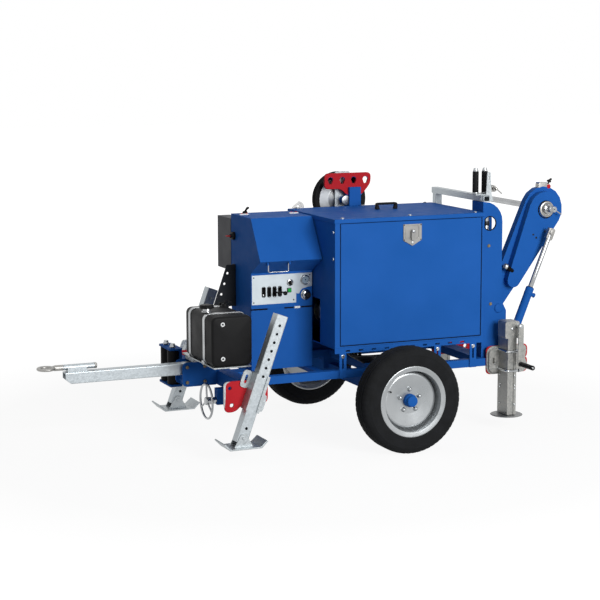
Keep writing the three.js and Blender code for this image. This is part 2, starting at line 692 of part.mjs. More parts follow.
const visorTip = consoleNear - visorReach;
const bailPlaces = [-573, -448];
const bailRadius = 2.5;
const bailDrop = 44;
const bailLug = 7;
const bailLine = [visorTip + 16, visorHeight - 14];

const visor = () => {
  const face = consoleNear - clearance;
  const outer = [[face, visorFloor], [face, consoleTop], [visorTip, visorHeight]];
  const thick = sheet * 1.6;
  const inner = [[face + overrun, visorFloor + thick], [face + overrun, consoleTop - thick * 1.6],
    [visorTip + thick * 2, visorHeight]];
  const body = slab('yz', outer, consoleFront, consoleRear);
  const hollow = slab('yz', inner, consoleFront + sheet, consoleRear - sheet);
  const lugs = bailPlaces.map((x) => block(x - bailLug / 2, x + bailLug / 2, bailLine[0] - bailLug,
    bailLine[0] + bailLug, bailLine[1] - bailLug, bailLine[1] + bailLug * 1.5));
  const bores = bar('x', bailPlaces[0] - bailLug, bailPlaces[1] + bailLug, bailLine[0], bailLine[1],
    pinBore(bailRadius), boreSides);
  return cut(join(cut(body, hollow), ...lugs), bores);
};

piece('sloping_cover', visor(), 'blue');

const bail = () => {
  const [y, z] = bailLine;
  const [x0, x1] = bailPlaces;
  const inside = bailLug / 2 + clearance + bailRadius;
  const ends = [[x0 - bailLug, x0 + inside], [x1 - inside, x1 + bailLug]].map(([from, to]) => (
    bar('x', from, to, y, z, bailRadius, 8)));
  const legs = [x0 + inside, x1 - inside].map((x) => bar('z', z - bailDrop, z, x, y, bailRadius, 8));
  const grip = bar('x', x0 + inside - bailRadius, x1 - inside + bailRadius, y, z - bailDrop, bailRadius, 8);
  return join(...ends, ...legs, grip);
};

piece('cover_handle', bail(), 'chrome');

// Oil cooler with pressed fins, and the dark tapered guard beam beside the cabinet
const coolerFront = consoleFront - 2;
const coolerThickness = 70;
const coolerNear = consoleFar + clearance;
const coolerFar = 458;
const coolerFloor = 870;
const coolerTop = 1155;
const finPitch = 24;
const finDepth = 8;
const beamNear = 188;
const beamWidth = 18;
const beamFoot = 685;
const beamTop = 912;
const beamReach = 132;
const beamTopReach = 52;
const beamHole = 7;

const cooler = () => {
  const body = block(coolerFront, coolerFront + coolerThickness, coolerNear, coolerFar, coolerFloor, coolerTop);
  const grooves = [];
  const count = Math.floor((coolerTop - coolerFloor - finPitch) / finPitch);
  for (let index = 0; index < count; index += 1) {
    const z = coolerFloor + finPitch * (index + 1);
    grooves.push(block(coolerFront + coolerThickness - finDepth, coolerFront + coolerThickness + overrun,
      coolerNear + finPitch, coolerFar - finPitch, z - finPitch / 6, z + finPitch / 6));
  }
  return cut(body, ...grooves);
};

const guardBeam = () => {
  const face = consoleFront - clearance;
  const outline = [[face, beamFoot], [face, beamTop], [face - beamTopReach, beamTop], [face - beamReach, beamFoot]];
  const holes = [0.3, 0.55, 0.8].map((share) => circle(
    face - beamReach * 0.8 + (beamReach - beamTopReach) * share * 0.9,
    beamFoot + (beamTop - beamFoot) * share, beamHole, 10));
  const web = slab('xz', outline, beamNear, beamNear + beamWidth / 3, holes);
  const foot = block(face - beamReach * 0.9, face, beamNear, beamNear + beamWidth, beamFoot, beamFoot + beamWidth / 3);
  const back = block(face - beamWidth / 3, face, beamNear, beamNear + beamWidth * 2, beamFoot, beamTop);
  return join(web, foot, back);
};

piece('oil_cooler', cooler(), 'grey');
piece('guard_beam', guardBeam(), 'black');

// Diesel tank strapped to a galvanised shelf on the drawbar bracket
const tankFront = -985;
const tankRear = -766;
const tankNear = -420;
const tankFar = -20;
const tankFloor = 477;
const tankTop = 735;
const tankCorner = 30;
const tankEdge = 10;
const strapWidth = 28;
const strapThickness = 2;
const strapPlaces = [-302, -88];
const shelfThickness = 6;
const shelfMargin = 8;
const neckPlace = [-943, -229];
const neckRadius = 22;
const neckHeight = 18;
const capRadius = 38;
const capHeight = 20;

const tank = () => {
  const shape = drawn(rounded(tankFront, tankRear, tankFloor, tankTop, tankCorner, 3));
  const geometry = new THREE.ExtrudeGeometry(shape, { depth: tankFar - tankNear - tankEdge * 2,
    bevelThickness: tankEdge, bevelSize: tankEdge, bevelOffset: -tankEdge, bevelSegments: 2 });
  geometry.translate(0, 0, -tankFar + tankEdge);
  geometry.applyMatrix4(planes.xz);
  const neck = bar('z', tankTop - weld, tankTop + neckHeight, neckPlace[0], neckPlace[1], neckRadius, 12);
  return join(solidOf(geometry), neck);
};

const cradle = () => {
  const ringAt = (y) => {
    const inner = clearance;
    const outer = clearance + strapThickness;
    const outline = (grow) => rounded(tankFront - grow, tankRear + grow, tankFloor - grow, tankTop + grow,
      tankCorner + grow, 3);
    return slab('xz', outline(outer), y - strapWidth / 2, y + strapWidth / 2, [outline(inner)]);
  };
  const shelfTop = tankFloor - clearance - strapThickness / 2;
  const shelf = block(tankFront + shelfMargin, tankRear - shelfMargin, tankNear - shelfMargin / 2,
    bracketHalf, shelfTop - shelfThickness, shelfTop);
  const foot = block(tankFront + shelfMargin * 3, bracketRear - bracketCorner, -bracketHalf, bracketHalf,
    bracketTop + clearance, shelfTop - shelfThickness + weld);
  return join(shelf, foot, ...strapPlaces.map(ringAt));
};

const tankCap = () => {
  const floor = tankTop + neckHeight + clearance;
  const profile = [[0, 0], [capRadius, 0], [capRadius, capHeight * 0.7], [capRadius * 0.8, capHeight], [0, capHeight]];
  return turned('z', profile.map(([radius, along]) => [radius, floor + along]), neckPlace[0], neckPlace[1], 14);
};

piece('fuel_tank', tank(), 'black');
piece('tank_cradle', cradle(), 'galvanised');
piece('tank_cap', tankCap(), 'black');

// Drawbar: a square tube with the eye housing on top and a swivelling towing eye
const drawbarFront = -1640;
const drawbarRear = -834;
const drawbarWall = 5;
const drawbarTop = drawbarFloor + drawbarSize;
const housingFront = -1646;
const housingRear = -1481;
const housingRadius = 15;
const shankRadius = 10;
const shankHeight = drawbarTop + 24;
const saddleHalf = 22;
const eyePlace = -1735;
const eyeOuter = 48;
const eyeInner = 28;
const eyeThickness = 16;
const collar = 14;

const drawbar = () => {
  const half = drawbarSize / 2;
  const hole = half - drawbarWall;
  const middle = drawbarFloor + half;
  const tube = slab('yz', rounded(-half, half, drawbarFloor, drawbarTop, drawbarWall, 2), drawbarFront, drawbarRear,
    [rounded(-hole, hole, middle - hole, middle + hole, drawbarWall / 2, 2)]);
  const saddle = block(drawbarFront + collar, housingRear - collar * 3, -saddleHalf, saddleHalf, drawbarTop - weld, shankHeight);
  const housing = bar('x', housingFront, housingRear, 0, shankHeight, housingRadius, 12);
  const bore = bar('x', housingFront - overrun, housingRear + overrun, 0, shankHeight, pinBore(shankRadius), boreSides);
  const nose = slab('xz', [[drawbarFront - overrun, drawbarFloor - overrun], [drawbarFront + drawbarSize * 0.6,
    drawbarFloor - overrun], [drawbarFront - overrun, drawbarFloor + drawbarSize * 0.5]], -drawbarSize, drawbarSize);
  return cut(join(tube, saddle, housing), bore, nose);
};

const towingEye = () => {
  const ring = slab('xy', circle(eyePlace, 0, eyeOuter, 28), shankHeight - eyeThickness / 2,
    shankHeight + eyeThickness / 2, [circle(eyePlace, 0, eyeInner, 12)]);
  const shank = bar('x', eyePlace + (eyeOuter + eyeInner) / 2, housingRear + collar, 0, shankHeight, shankRadius, 12);
  const shoulder = bar('x', eyePlace + eyeOuter - weld * 2, housingFront - clearance, 0, shankHeight, housingRadius, 12);
  const nut = bar('x', housingRear + clearance, housingRear + collar, 0, shankHeight, housingRadius * 1.1, 6);
  return join(ring, shank, shoulder, nut);
};

piece('drawbar_tube', drawbar(), 'galvanised');
piece('towing_eye', towingEye(), 'galvanised');

// Handwheel of the screw under the front cross tube
const handwheelPlace = -920;
const handwheelRadius = 92;
const handwheelRim = 6;

const handwheel = () => {
  const [y, z] = wheelSpindle;
  const ringProfile = closed(circle(handwheelRadius, handwheelPlace, handwheelRim, 6));
  const ring = turned('x', ringProfile, y, z, 18);
  const spokes = [90, 210, 330].map((angle) => {
    const turn = THREE.MathUtils.degToRad(angle);
    return strut([handwheelPlace, y, z], [handwheelPlace, y + handwheelRadius * Math.cos(turn),
      z + handwheelRadius * Math.sin(turn)], handwheelRim * 0.8, 8);
  });
  const face = outriggerPlace - outriggerSize / 2 - spindleBlock - clearance;
  const shaft = bar('x', handwheelPlace - handwheelRim, face + spindleBlock, y, z, spindleRadius, 10);
  const hub = bar('x', handwheelPlace - handwheelRim, face, y, z, spindleRadius * 1.8, 10);
  return join(ring, ...spokes, shaft, hub);
};

piece('handwheel', handwheel(), 'chrome');

// Front fairlead: two upright rubber rollers on pins
rollerPlaces.forEach((y, index) => {
  const profile = closed([[pinBore(rollerPin), rollerFloor], [rollerRadius * 0.9, rollerFloor],
    [rollerRadius, rollerFloor + rollerMargin / 2], [rollerRadius, rollerTop - rollerMargin / 2],
    [rollerRadius * 0.9, rollerTop], [pinBore(rollerPin), rollerTop]]);
  piece(`front_roller_${index + 1}`, turned('z', profile, rollerLine, y, 12), 'rubber');
});

// Road wheels: a ribbed tyre on a steel rim with a hub that turns on the stub axle
const seatRadius = 165;
const rimWall = 5;
const seatHalf = 60;
const naveRadius = 78;
const naveOffset = 22;
const hubRadius = 34;
const hubInner = -44;
const hubCap = 40;
const hubBolts = 5;
const hubBoltCircle = 58;
const wheelSides = 28;
const grooveDepth = 7;
const grooveWidth = 8;

const tyreProfile = () => {
  const half = tyreWidth / 2;
  const seat = seatRadius + clearance;
  const crown = tyreRadius - seatRadius;
  const side = [[seat, seatHalf], [rimLipRadius + clearance, seatHalf], [rimLipRadius + crown * 0.05, half * 0.9],
    [seatRadius + crown * 0.5, half], [seatRadius + crown * 0.86, half * 0.9], [tyreRadius, half * 0.72]];
  const ribs = [];
  for (const share of [0.3, -0.3]) {
    const middle = share * half;
    ribs.push([tyreRadius, middle + grooveWidth], [tyreRadius - grooveDepth, middle], [tyreRadius, middle - grooveWidth]);
  }
  const mirrored = side.map(([radius, along]) => [radius, -along]).reverse();
  return closed([...side, ...ribs, ...mirrored]);
};

const rim = (side) => {
  const wall = seatRadius - rimWall;
  const flangeEnd = seatHalf + rimWall + clearance;
  const lip = rimLipRadius;
  const profile = [[wall, flangeEnd], [lip, flangeEnd + rimWall], [lip, flangeEnd], [seatRadius, seatHalf + clearance],
    [seatRadius, -seatHalf - clearance], [lip, -flangeEnd], [lip, -flangeEnd - rimWall], [wall, -flangeEnd]];
  const nave = [[hubRadius - weld, naveOffset + rimWall], [naveRadius, naveOffset + rimWall],
    [naveRadius * 1.2, naveOffset + rimWall * 4], [wall * 0.86, naveOffset + rimWall * 4.4], [wall + weld, naveOffset + rimWall * 1.5],
    [wall + weld, naveOffset - rimWall * 0.5], [wall * 0.86, naveOffset + rimWall * 2.8], [naveRadius * 1.2, naveOffset + rimWall * 2.6],
    [naveRadius, naveOffset - weld], [hubRadius - weld, naveOffset - weld]];
  const hub = [[0, stubEnd - wheelTrack / 2 + clearance], [pinBore(stubRadius), stubEnd - wheelTrack / 2 + clearance],
    [pinBore(stubRadius), hubInner], [hubRadius, hubInner], [hubRadius, naveOffset + hubCap * 0.5],
    [hubRadius * 0.9, naveOffset + hubCap * 0.9], [0, naveOffset + hubCap]];
  const flip = (list) => list.map(([radius, along]) => [radius, side * (wheelTrack / 2 + along)]);
  const solids = [turned('y', flip(closed(profile)), 0, tyreRadius, wheelSides), turned('y', flip(closed(nave)), 0, tyreRadius, 16),
    turned('y', flip(hub), 0, tyreRadius, boreSides)];
  for (let index = 0; index < hubBolts; index += 1) {
    const angle = (2 * Math.PI * index) / hubBolts + Math.PI / 2;
    const from = side * (wheelTrack / 2 + naveOffset);
    solids.push(bar('y', from, from + side * boltHead * 3, hubBoltCircle * Math.cos(angle),
      tyreRadius + hubBoltCircle * Math.sin(angle), boltRadius, 6));
  }
  return join(...solids);
};

[['near', -1], ['far', 1]].forEach(([place, side]) => {
  const profile = tyreProfile().map(([radius, along]) => [radius, along + (side * wheelTrack) / 2]);
  piece(`tyre_${place}`, turned('y', profile, 0, tyreRadius, wheelSides), 'rubber');
  piece(`wheel_rim_${place}`, rim(side), 'silver');
});

// Front legs: a leaning square tube in a sleeve on a red anchor plate, with a hinged foot
const legWall = 5;
const legHole = 8;
const legPitch = 45;
const legHoleTop = 595;
const legHoleCount = 7;
const legHoleLow = 49;
const sleeveFloor = 138;
const sleeveTop = 332;
const sleeveLip = 9;
const earReach = 46;
const earHeight = 92;
const earThickness = 8;
const footPin = 9;
const footDrop = 46;
const footPlate = 8;
const footHalfLength = 86;
const footHalfWidth = 70;
const footTurn = 34;
const socketHalf = legSize / 2 + clearance + 6;

const legTube = (side) => {
  const half = legSize / 2;
  const hole = half - legWall;
  const y = side * legOffset;
  const tube = slab('xy', rounded(-half, half, y - half, y + half, legWall, 2), footPlate * 2 - footDrop, legLength,
    [rounded(-hole, hole, y - hole, y + hole, legWall / 2, 2)]);
  const places = [legHoleLow, ...Array.from({ length: legHoleCount }, (_, index) => legHoleTop - index * legPitch)];
  const holes = places.map((z) => bar('y', y - half - overrun, y + half + overrun, 0, z, legHole, 6));
  const pinHole = bar('y', y - half - overrun, y + half + overrun, 0, 0, pinBore(footPin), boreSides);
  return cut(tube, ...holes, pinHole);
};

const anchorReach = [156, 82];
const anchorDrop = 99;
const anchorRise = 59;
const anchorLobe = 42;

const legSleeve = (side) => {
  const half = legSize / 2 + clearance;
  const outer = half + sleeveWall;
  const y = side * legOffset;
  const inside = y - side * outer;
  const channel = slab('xy', [[-outer, inside], [outer, inside], [outer, y + side * outer],
    [half - sleeveLip, y + side * outer], [half - sleeveLip, y + side * half], [half, y + side * half],
    [half, y - side * half], [-half, y - side * half], [-half, y + side * half],
    [-half + sleeveLip, y + side * half], [-half + sleeveLip, y + side * outer], [-outer, y + side * outer]],
  sleeveFloor, sleeveTop);
  const ears = [[-1, sleeveTop - earHeight], [1, sleeveFloor + legWall]].map(([way, floor]) => {
    const reach = way * (outer + earReach);
    const start = way * (outer - weld * 2);
    const low = Math.min(start, reach);
    const high = Math.max(start, reach);
    const slotWidth = earReach * 0.32;
    const middle = (low + high) / 2;
    return slab('xz', rounded(low, high, floor, floor + earHeight, earReach * 0.35), inside,
      inside + side * earThickness, [rounded(middle - slotWidth / 2, middle + slotWidth / 2,
        floor + earHeight * 0.25, floor + earHeight * 0.75, slotWidth / 2.2)]);
  });
  const upright = leaned(join(channel, ...ears), legLean, legBottom[0], 0, legBottom[1]);
  const back = inside;
  const front = back - side * anchorThickness;
  const plateFront = outriggerPlace - anchorReach[0];
  const plateRear = outriggerPlace + anchorReach[1];
  const plateFloor = outriggerHeight - anchorDrop;
  const plateTop = outriggerHeight + anchorRise;
  const lobe = anchorLobe;
  const outline = [...arc(plateFront + lobe, plateFloor + lobe, lobe, 180, 270, 5),
    [plateFront + lobe * 2.4, plateFloor + lobe * 0.8], [plateRear - lobe * 1.2, plateFloor + lobe * 0.8],
    ...arc(plateRear - lobe, plateTop - lobe, lobe, 0, 90, 4),
    ...arc(plateFront + lobe * 0.5, plateTop - lobe * 0.5, lobe * 0.5, 90, 180, 4)];
  const anchorHoles = [circle(plateFront + lobe, plateFloor + lobe * 0.85, lobe * 0.28, 8),
    circle(plateFront + lobe * 0.75, plateTop - lobe * 0.8, lobe * 0.25, 8)];
  const anchor = slab('xz', outline, front, back + (side * weld) / 2, anchorHoles);
  return join(upright, anchor);
};

const foot = (side) => {
  const y = side * legOffset;
  const [x, z] = legBottom;
  const floor = z - footDrop - footPlate;
  const plate = block(x - footHalfLength, x + footHalfLength, y - footHalfWidth, y + footHalfWidth, floor, floor + footPlate);
  const flaps = [-1, 1].map((way) => slab('xz', [[x + way * footHalfLength, floor], [x + way * (footHalfLength + footTurn), floor + footTurn],
    [x + way * (footHalfLength + footTurn - footPlate * 0.8), floor + footTurn + footPlate * 0.6],
    [x + way * (footHalfLength - footPlate), floor + footPlate * 0.9], [x + way * (footHalfLength - footPlate), floor]],
  y - footHalfWidth, y + footHalfWidth));
  const cheekOutline = [[x - footHalfLength * 0.62, floor + weld], [x + footHalfLength * 0.62, floor + weld],
    ...arc(x, z, footPin * 2.4, 30, 150, 5)];
  const cheeks = [-1, 1].map((way) => slab('xz', cheekOutline, y + way * (socketHalf - 6), y + way * socketHalf));
  const pin = bar('y', y - socketHalf - boltHead, y + socketHalf + boltHead, x, z, footPin, 8);
  return join(plate, ...flaps, ...cheeks, pin);
};

[['near', -1], ['far', 1]].forEach(([place, side]) => {
  const leaning = new THREE.Group();
  leaning.position.set(legBottom[0], 0, legBottom[1]);
  leaning.rotation.y = legLean;
  machine.add(leaning);
  piece(`front_leg_${place}`, legTube(side), 'galvanised', leaning);
  piece(`leg_sleeve_${place}`, legSleeve(side), 'galvanised');
  piece(`front_foot_${place}`, foot(side), 'galvanised');
});

// Rear jacks: a folded tube clamped beside the rail, with a screw leg, a round foot and a crank
const jackPlace = 746;
const jackNear = 435;
const jackFar = 327;
const jackWidth = 54;
const jackFloor = 84;
const jackTop = 602;
const jackHeadFloor = 508;
const jackHeadHalf = 44;
const jackHeadFar = 353;
const jackWall = 5;
const jackLegHalf = 17;
const discRadius = 90;
const discThickness = 6;
const discFloor = 75;
const crankHeightAt = 576;
const crankPlace = 778;
const crankLength = 205;
const crankWidth = 32;
const crankThickness = 8;
const crankPin = 9;
const crankGap = 30;
const gripLength = 130;
const gripRadius = 13;
const uBoltHeights = [330, 436];
const uBoltRadius = 6;

const jackPlateReach = [98, 160];
const jackPlateDrop = 34;
const jackPlateRise = 16;
const jackLobe = 40;

const jackMiddle = (jackNear + jackFar) / 2;

const jackTube = (side) => {
  const near = side * jackNear;
  const far = side * jackFar;
  const half = jackWidth / 2;
  const lowY = Math.min(near, far);
  const highY = Math.max(near, far);
  const bore = jackLegHalf + clearance;
  const y = side * jackMiddle;
  const grooveHalf = half * 0.45;
  const groove = sheet * 1.4;
  const outline = [[jackPlace - half, lowY], [jackPlace - grooveHalf, lowY], [jackPlace - grooveHalf, lowY + groove],
    [jackPlace + grooveHalf, lowY + groove], [jackPlace + grooveHalf, lowY], [jackPlace + half, lowY],
    [jackPlace + half, highY], [jackPlace + grooveHalf, highY], [jackPlace + grooveHalf, highY - groove],
    [jackPlace - grooveHalf, highY - groove], [jackPlace - grooveHalf, highY], [jackPlace - half, highY]];
  const tube = slab('xy', outline, jackFloor, jackHeadFloor + weld,
    [rounded(jackPlace - bore, jackPlace + bore, y - bore, y + bore, jackWall / 2, 2)]);
  const head = slab('xz', rounded(jackPlace - jackHeadHalf, jackPlace + jackHeadHalf, jackHeadFloor, jackTop, jackWall * 2),
    near, side * jackHeadFar);
  const screwRoom = bar('z', jackHeadFloor - overrun, jackTop - jackWall * 2, jackPlace, y, bore, 8);
  const crankBore = bar('y', near, near - side * (jackNear - jackFar) * 0.4, crankPlace, crankHeightAt, pinBore(crankPin), boreSides);
  const plateFace = side * (railReach + clearance);
  const plateFront = jackPlace - jackPlateReach[0];
  const plateRear = jackPlace + jackPlateReach[1];
  const lobe = jackLobe;
  const floor = uBoltHeights[0] - jackPlateDrop;
  const top = uBoltHeights[1] + jackPlateRise;
  const plateOutline = [...arc(plateRear - lobe, floor + lobe, lobe, 270, 360, 4),
    [plateRear - lobe * 0.4, (floor + top) / 2], ...arc(plateRear - lobe, top - lobe * 0.8, lobe * 0.8, 0, 90, 4),
    ...arc(plateFront + lobe, top - lobe, lobe, 90, 180, 4), ...arc(plateFront + lobe, floor + lobe, lobe, 180, 270, 4)];
  const anchor = slab('xz', plateOutline, plateFace, far + side * weld,
    [circle(plateRear - lobe * 0.9, top - lobe, lobe * 0.3, 8), circle(plateRear - lobe, floor + lobe, lobe * 0.3, 8)]);
  const ear = slab('xz', rounded(plateFront + sheet * 3, jackPlace, floor + lobe * 0.3, top - lobe * 0.3, lobe * 0.7, 4),
    far, far + side * jackWall * 3, [rounded(plateFront + lobe * 0.7, plateFront + lobe * 1.05, (floor + top) / 2 - lobe * 0.4,
      (floor + top) / 2 + lobe * 0.4, sheet, 2)]);
  const bolts = uBoltHeights.flatMap((z) => [
    bar('x', jackPlace - half - uBoltRadius, jackPlace + half + uBoltRadius * 2, near, z, uBoltRadius, 8),
    bar('y', near, far, jackPlace - half - uBoltRadius, z, uBoltRadius, 8)]);
  return cut(join(tube, head, anchor, ear, ...bolts), screwRoom, crankBore);
};

const jackLeg = (side) => {
  const y = side * jackMiddle;
  const tube = slab('xy', rounded(jackPlace - jackLegHalf, jackPlace + jackLegHalf, y - jackLegHalf, y + jackLegHalf,
    jackWall / 2, 2), discFloor, jackHeadFloor - jackWall);
  const disc = turned('z', [[0, discFloor], [discRadius * 0.94, discFloor], [discRadius, discFloor + discThickness / 2],
    [discRadius * 0.94, discFloor + discThickness], [0, discFloor + discThickness]], jackPlace, y, 20);
  return join(tube, disc);
};

const jackCrank = (side) => {
  const near = side * jackNear;
  const inner = near - side * (jackNear - jackFar) * 0.3;
  const armFace = near + side * crankGap;
  const armOuter = armFace + side * crankThickness;
  const shaft = bar('y', inner, armOuter, crankPlace, crankHeightAt, crankPin, 10);
  const boss = bar('y', near + side * clearance, armFace, crankPlace, crankHeightAt, crankPin * 1.5, 10);
  const arm = slab('xz', strap([crankPlace, crankHeightAt, crankWidth / 2], [crankPlace, crankHeightAt - crankLength,
    crankWidth / 2], 6), armFace, armOuter);
  const grip = bar('y', armOuter - side * weld, armOuter + side * gripLength, crankPlace, crankHeightAt - crankLength,
    gripRadius, 14);
  return join(shaft, boss, arm, grip);
};

[['near', -1], ['far', 1]].forEach(([place, side]) => {
  piece(`jack_tube_${place}`, jackTube(side), 'galvanised');
  piece(`jack_leg_${place}`, jackLeg(side), 'galvanised');
  piece(`jack_crank_${place}`, jackCrank(side), 'galvanised');
});

// Reel column: two cheek plates with a back and a cap, open to the rear for the reel arm
const columnFront = hoodRear + 10;
const columnRear = 756;
const columnStep = 787;
const columnNear = -290;
const columnFar = -165;
const columnRise = 52;
const columnTop = hoodTop + columnRise;
const columnCorner = 110;
const columnFloor = railTop + clearance;
const cheekThickness = 8;
const sightPlace = [677, 1125];
const sightRadius = 38;
const armPivot = [738, 655];
const pivotRadius = 20;
const cylinderFoot = [804, 487];
const cylinderPin = 12;
const stepHeight = 640;
const stepTop = 700;

const lug = 26;
const footPinReach = 62;

const column = () => {
  const outline = [[columnFront, columnFloor], [columnStep, columnFloor], [columnStep, cylinderFoot[1] - lug],
    ...arc(cylinderFoot[0], cylinderFoot[1], lug, -60, 60, 4), [columnStep, cylinderFoot[1] + lug],
    [columnStep, stepHeight], [columnRear, stepTop],
    ...arc(columnRear - columnCorner, columnTop - columnCorner, columnCorner, 0, 90, 6), [columnFront, columnTop]];
  const sight = circle(sightPlace[0], sightPlace[1], sightRadius, 12);
  const near = slab('xz', outline, columnNear, columnNear + cheekThickness, [sight]);
  const far = slab('xz', outline, columnFar - cheekThickness, columnFar);
  const spine = block(columnFront, columnFront + cheekThickness, columnNear + weld, columnFar - weld, columnFloor, columnTop);
  const base = block(columnFront, columnStep, columnNear + weld, columnFar - weld, columnFloor, columnFloor + cheekThickness);
  const cap = block(columnFront, columnRear - columnCorner, columnNear + weld, columnFar - weld,
    columnTop - cheekThickness, columnTop);
  const pivotPin = bar('y', columnNear - boltHead, columnFar + boltHead, armPivot[0], armPivot[1], pivotRadius);
  const footPinOut = columnNear - footPinReach;
  const pin = bar('y', footPinOut, columnNear + weld, cylinderFoot[0], cylinderFoot[1], cylinderPin, 10);
  const bolts = [[0.31, 0.72], [0.44, 0.345]].map(([across, up]) => bar('y', columnNear - boltHead, columnNear + weld,
    columnFront + (columnRear - columnFront) * across, columnFloor + (columnTop - columnFloor) * up, boltRadius * 0.8, 6));
  return join(near, far, spine, base, cap, pivotPin, pin, ...bolts);
};

piece('reel_column', column(), 'blue');

// Reel arm: a welded box with a round head, a chain case on its near face and the reel bearing
const armHead = [1049, 1188];
const armHeadRadius = 120;
const armFootRadius = 46;
const armNear = -226;
const armFar = -181;
const caseNear = -270;
const caseHead = [1040, 1180];
const caseHeadRadius = 104;
const caseFoot = [845, 800];
const caseFootRadius = 40;
const bearingRadius = 36;
const shaftRadius = 17;
const clevisPlace = [1040, 1064];
const clevisPin = 10;
const clampBlock = [1046, 1308];

const clampLength = 52;
const clampHalf = 16;
const clampHeightAt = 22;

const reelArm = () => {
  const body = slab('xz', strap([...armPivot, armFootRadius], [...armHead, armHeadRadius], 9), armNear, armFar);
  const chainCase = slab('xz', strap([...caseFoot, caseFootRadius], [...caseHead, caseHeadRadius], 8), caseNear, armNear + weld);
  const boss = bar('y', columnNear + cheekThickness + clearance, columnFar - cheekThickness - clearance,
    armPivot[0], armPivot[1], armFootRadius * 0.8, 18);
  const hub = bar('y', caseNear - sheet * 2, armFar + sheet * 2, armHead[0], armHead[1], bearingRadius + sheet * 2, 16);
  const hubBore = bar('y', caseNear - overrun * 3, armFar + overrun * 3, armHead[0], armHead[1], pinBore(shaftRadius), boreSides);
  const pivotBore = bar('y', columnNear, columnFar, armPivot[0], armPivot[1], pinBore(pivotRadius), boreSides);
  const clamp = block(clampBlock[0] - clampLength / 2, clampBlock[0] + clampLength / 2, armNear + sheet, armNear + sheet + clampHalf * 2,
    clampBlock[1] - clampHeightAt, clampBlock[1] + clampHeightAt);
  return cut(join(body, chainCase, boss, hub, clamp), hubBore, pivotBore);
};

piece('reel_arm', reelArm(), 'blue');

const shaftFar = 400;
const reelShaft = () => {
  const near = caseNear - sheet * 2 - clearance;
  const shaft = bar('y', near - collar * 3, shaftFar, armHead[0], armHead[1], shaftRadius, 12);
  const disc = bar('y', near - collar, near, armHead[0], armHead[1], shaftRadius * 1.7, 12);
  const stop = bar('y', armFar + sheet * 2 + clearance, armFar + sheet * 2 + collar, armHead[0], armHead[1], shaftRadius * 1.5, 12);
  const tee = bar('x', armHead[0] - bearingRadius, armHead[0] + bearingRadius, near - collar * 2, armHead[1], shaftRadius * 0.3, 8);
  return join(shaft, disc, stop, tee);
};

piece('reel_shaft', reelShaft(), 'steel');

// Lift cylinder between the column and the arm
const barrelRadius = 23;
const rodRadius = 14;
const barrelLength = 300;
const cylinderReach = 34;
const cylinderLine = columnNear - cylinderReach;
const rodLength = Math.hypot(clevisPlace[0] - cylinderFoot[0], clevisPlace[1] - cylinderFoot[1]);
const cylinderLean = Math.atan2(clevisPlace[0] - cylinderFoot[0], clevisPlace[1] - cylinderFoot[1]);
const rodEyeGap = 1;
const cylinderStroke = 174;
const eyeHalf = 12;

const cylinderGroup = new THREE.Group();
cylinderGroup.position.set(cylinderFoot[0], cylinderLine, cylinderFoot[1]);
cylinderGroup.rotation.y = cylinderLean;
machine.add(cylinderGroup);

const barrel = () => {
  const body = bar('z', barrelRadius, barrelLength, 0, 0, barrelRadius, 12);
  const eye = bar('y', -eyeHalf, eyeHalf, 0, 0, cylinderPin * 2, 12);
  const neck = bar('z', cylinderPin * 1.3, barrelRadius + weld, 0, 0, cylinderPin * 1.1, 8);
  const bore = bar('z', barrelRadius + rodRadius, barrelLength + overrun, 0, 0, pinBore(rodRadius), boreSides);
  const port = bar('x', barrelRadius - sheet, barrelRadius * 1.9, 0, barrelLength - barrelRadius * 1.5, barrelRadius * 0.5, 8);
  return cut(join(body, eye, neck, port), bore, bar('y', -eyeHalf - overrun, eyeHalf + overrun, 0, 0, pinBore(cylinderPin), boreSides));
};

const cylinderRod = () => {
  const start = barrelRadius + rodRadius + cylinderStroke;
  const rod = bar('z', start, rodLength - rodRadius, 0, 0, rodRadius, 12);
  const wide = rodRadius * 1.3;
  const eye = bar('y', -eyeHalf, eyeHalf, 0, rodLength, clevisPin + rodRadius, 12);
  const fork = block(-wide, wide, -eyeHalf, eyeHalf, rodLength - rodRadius * 3, rodLength - clevisPin / 2);
  const stub = bar('y', -eyeHalf - boltHead, caseNear - rodEyeGap - cylinderLine, 0, rodLength, clevisPin, 12);
  return join(rod, fork, eye, stub);
};

piece('cylinder_barrel', barrel(), 'blue', cylinderGroup);
piece('cylinder_rod', cylinderRod(), 'chrome', cylinderGroup);

// Level wind: a galvanised beam across the rear of the hood with a sliding carriage
const beamSetback = 26;
const beamLine = columnFront + beamSetback;
const beamHeight = 34;
const beamDepth = 40;
const windBeamFar = 330;
const windFloor = columnTop + clearance;
const carriageGap = 0.5;
const windRollerPlaces = [-34, 22];
const windRollerRadius = 17;
const rollerRise = 48;
const windRollerLength = 114;
const windRollerFloor = columnTop + rollerRise;
const windRollerTop = windRollerFloor + windRollerLength;
const windPin = 6;

const windBeam = () => {
  const half = beamDepth / 2;
  const wall = sheet * 1.5;
  const z0 = windFloor;
  const z1 = windFloor + beamHeight;
  const tube = slab('xz', [[beamLine - half, z0], [beamLine + half, z0], [beamLine + half, z1], [beamLine - half, z1]],
    columnNear + cheekThickness, windBeamFar, [[[beamLine - half + wall, z0 + wall], [beamLine + half - wall, z0 + wall],
      [beamLine + half - wall, z1 - wall], [beamLine - half + wall, z1 - wall]]]);
  const post = block(beamLine - half, beamLine + half, railReach - beamDepth, railReach, railTop + clearance, z0 + wall);
  return join(tube, post);
};

piece('level_wind_beam', windBeam(), 'galvanised');

const windNear = -262;
const windWidth = 96;

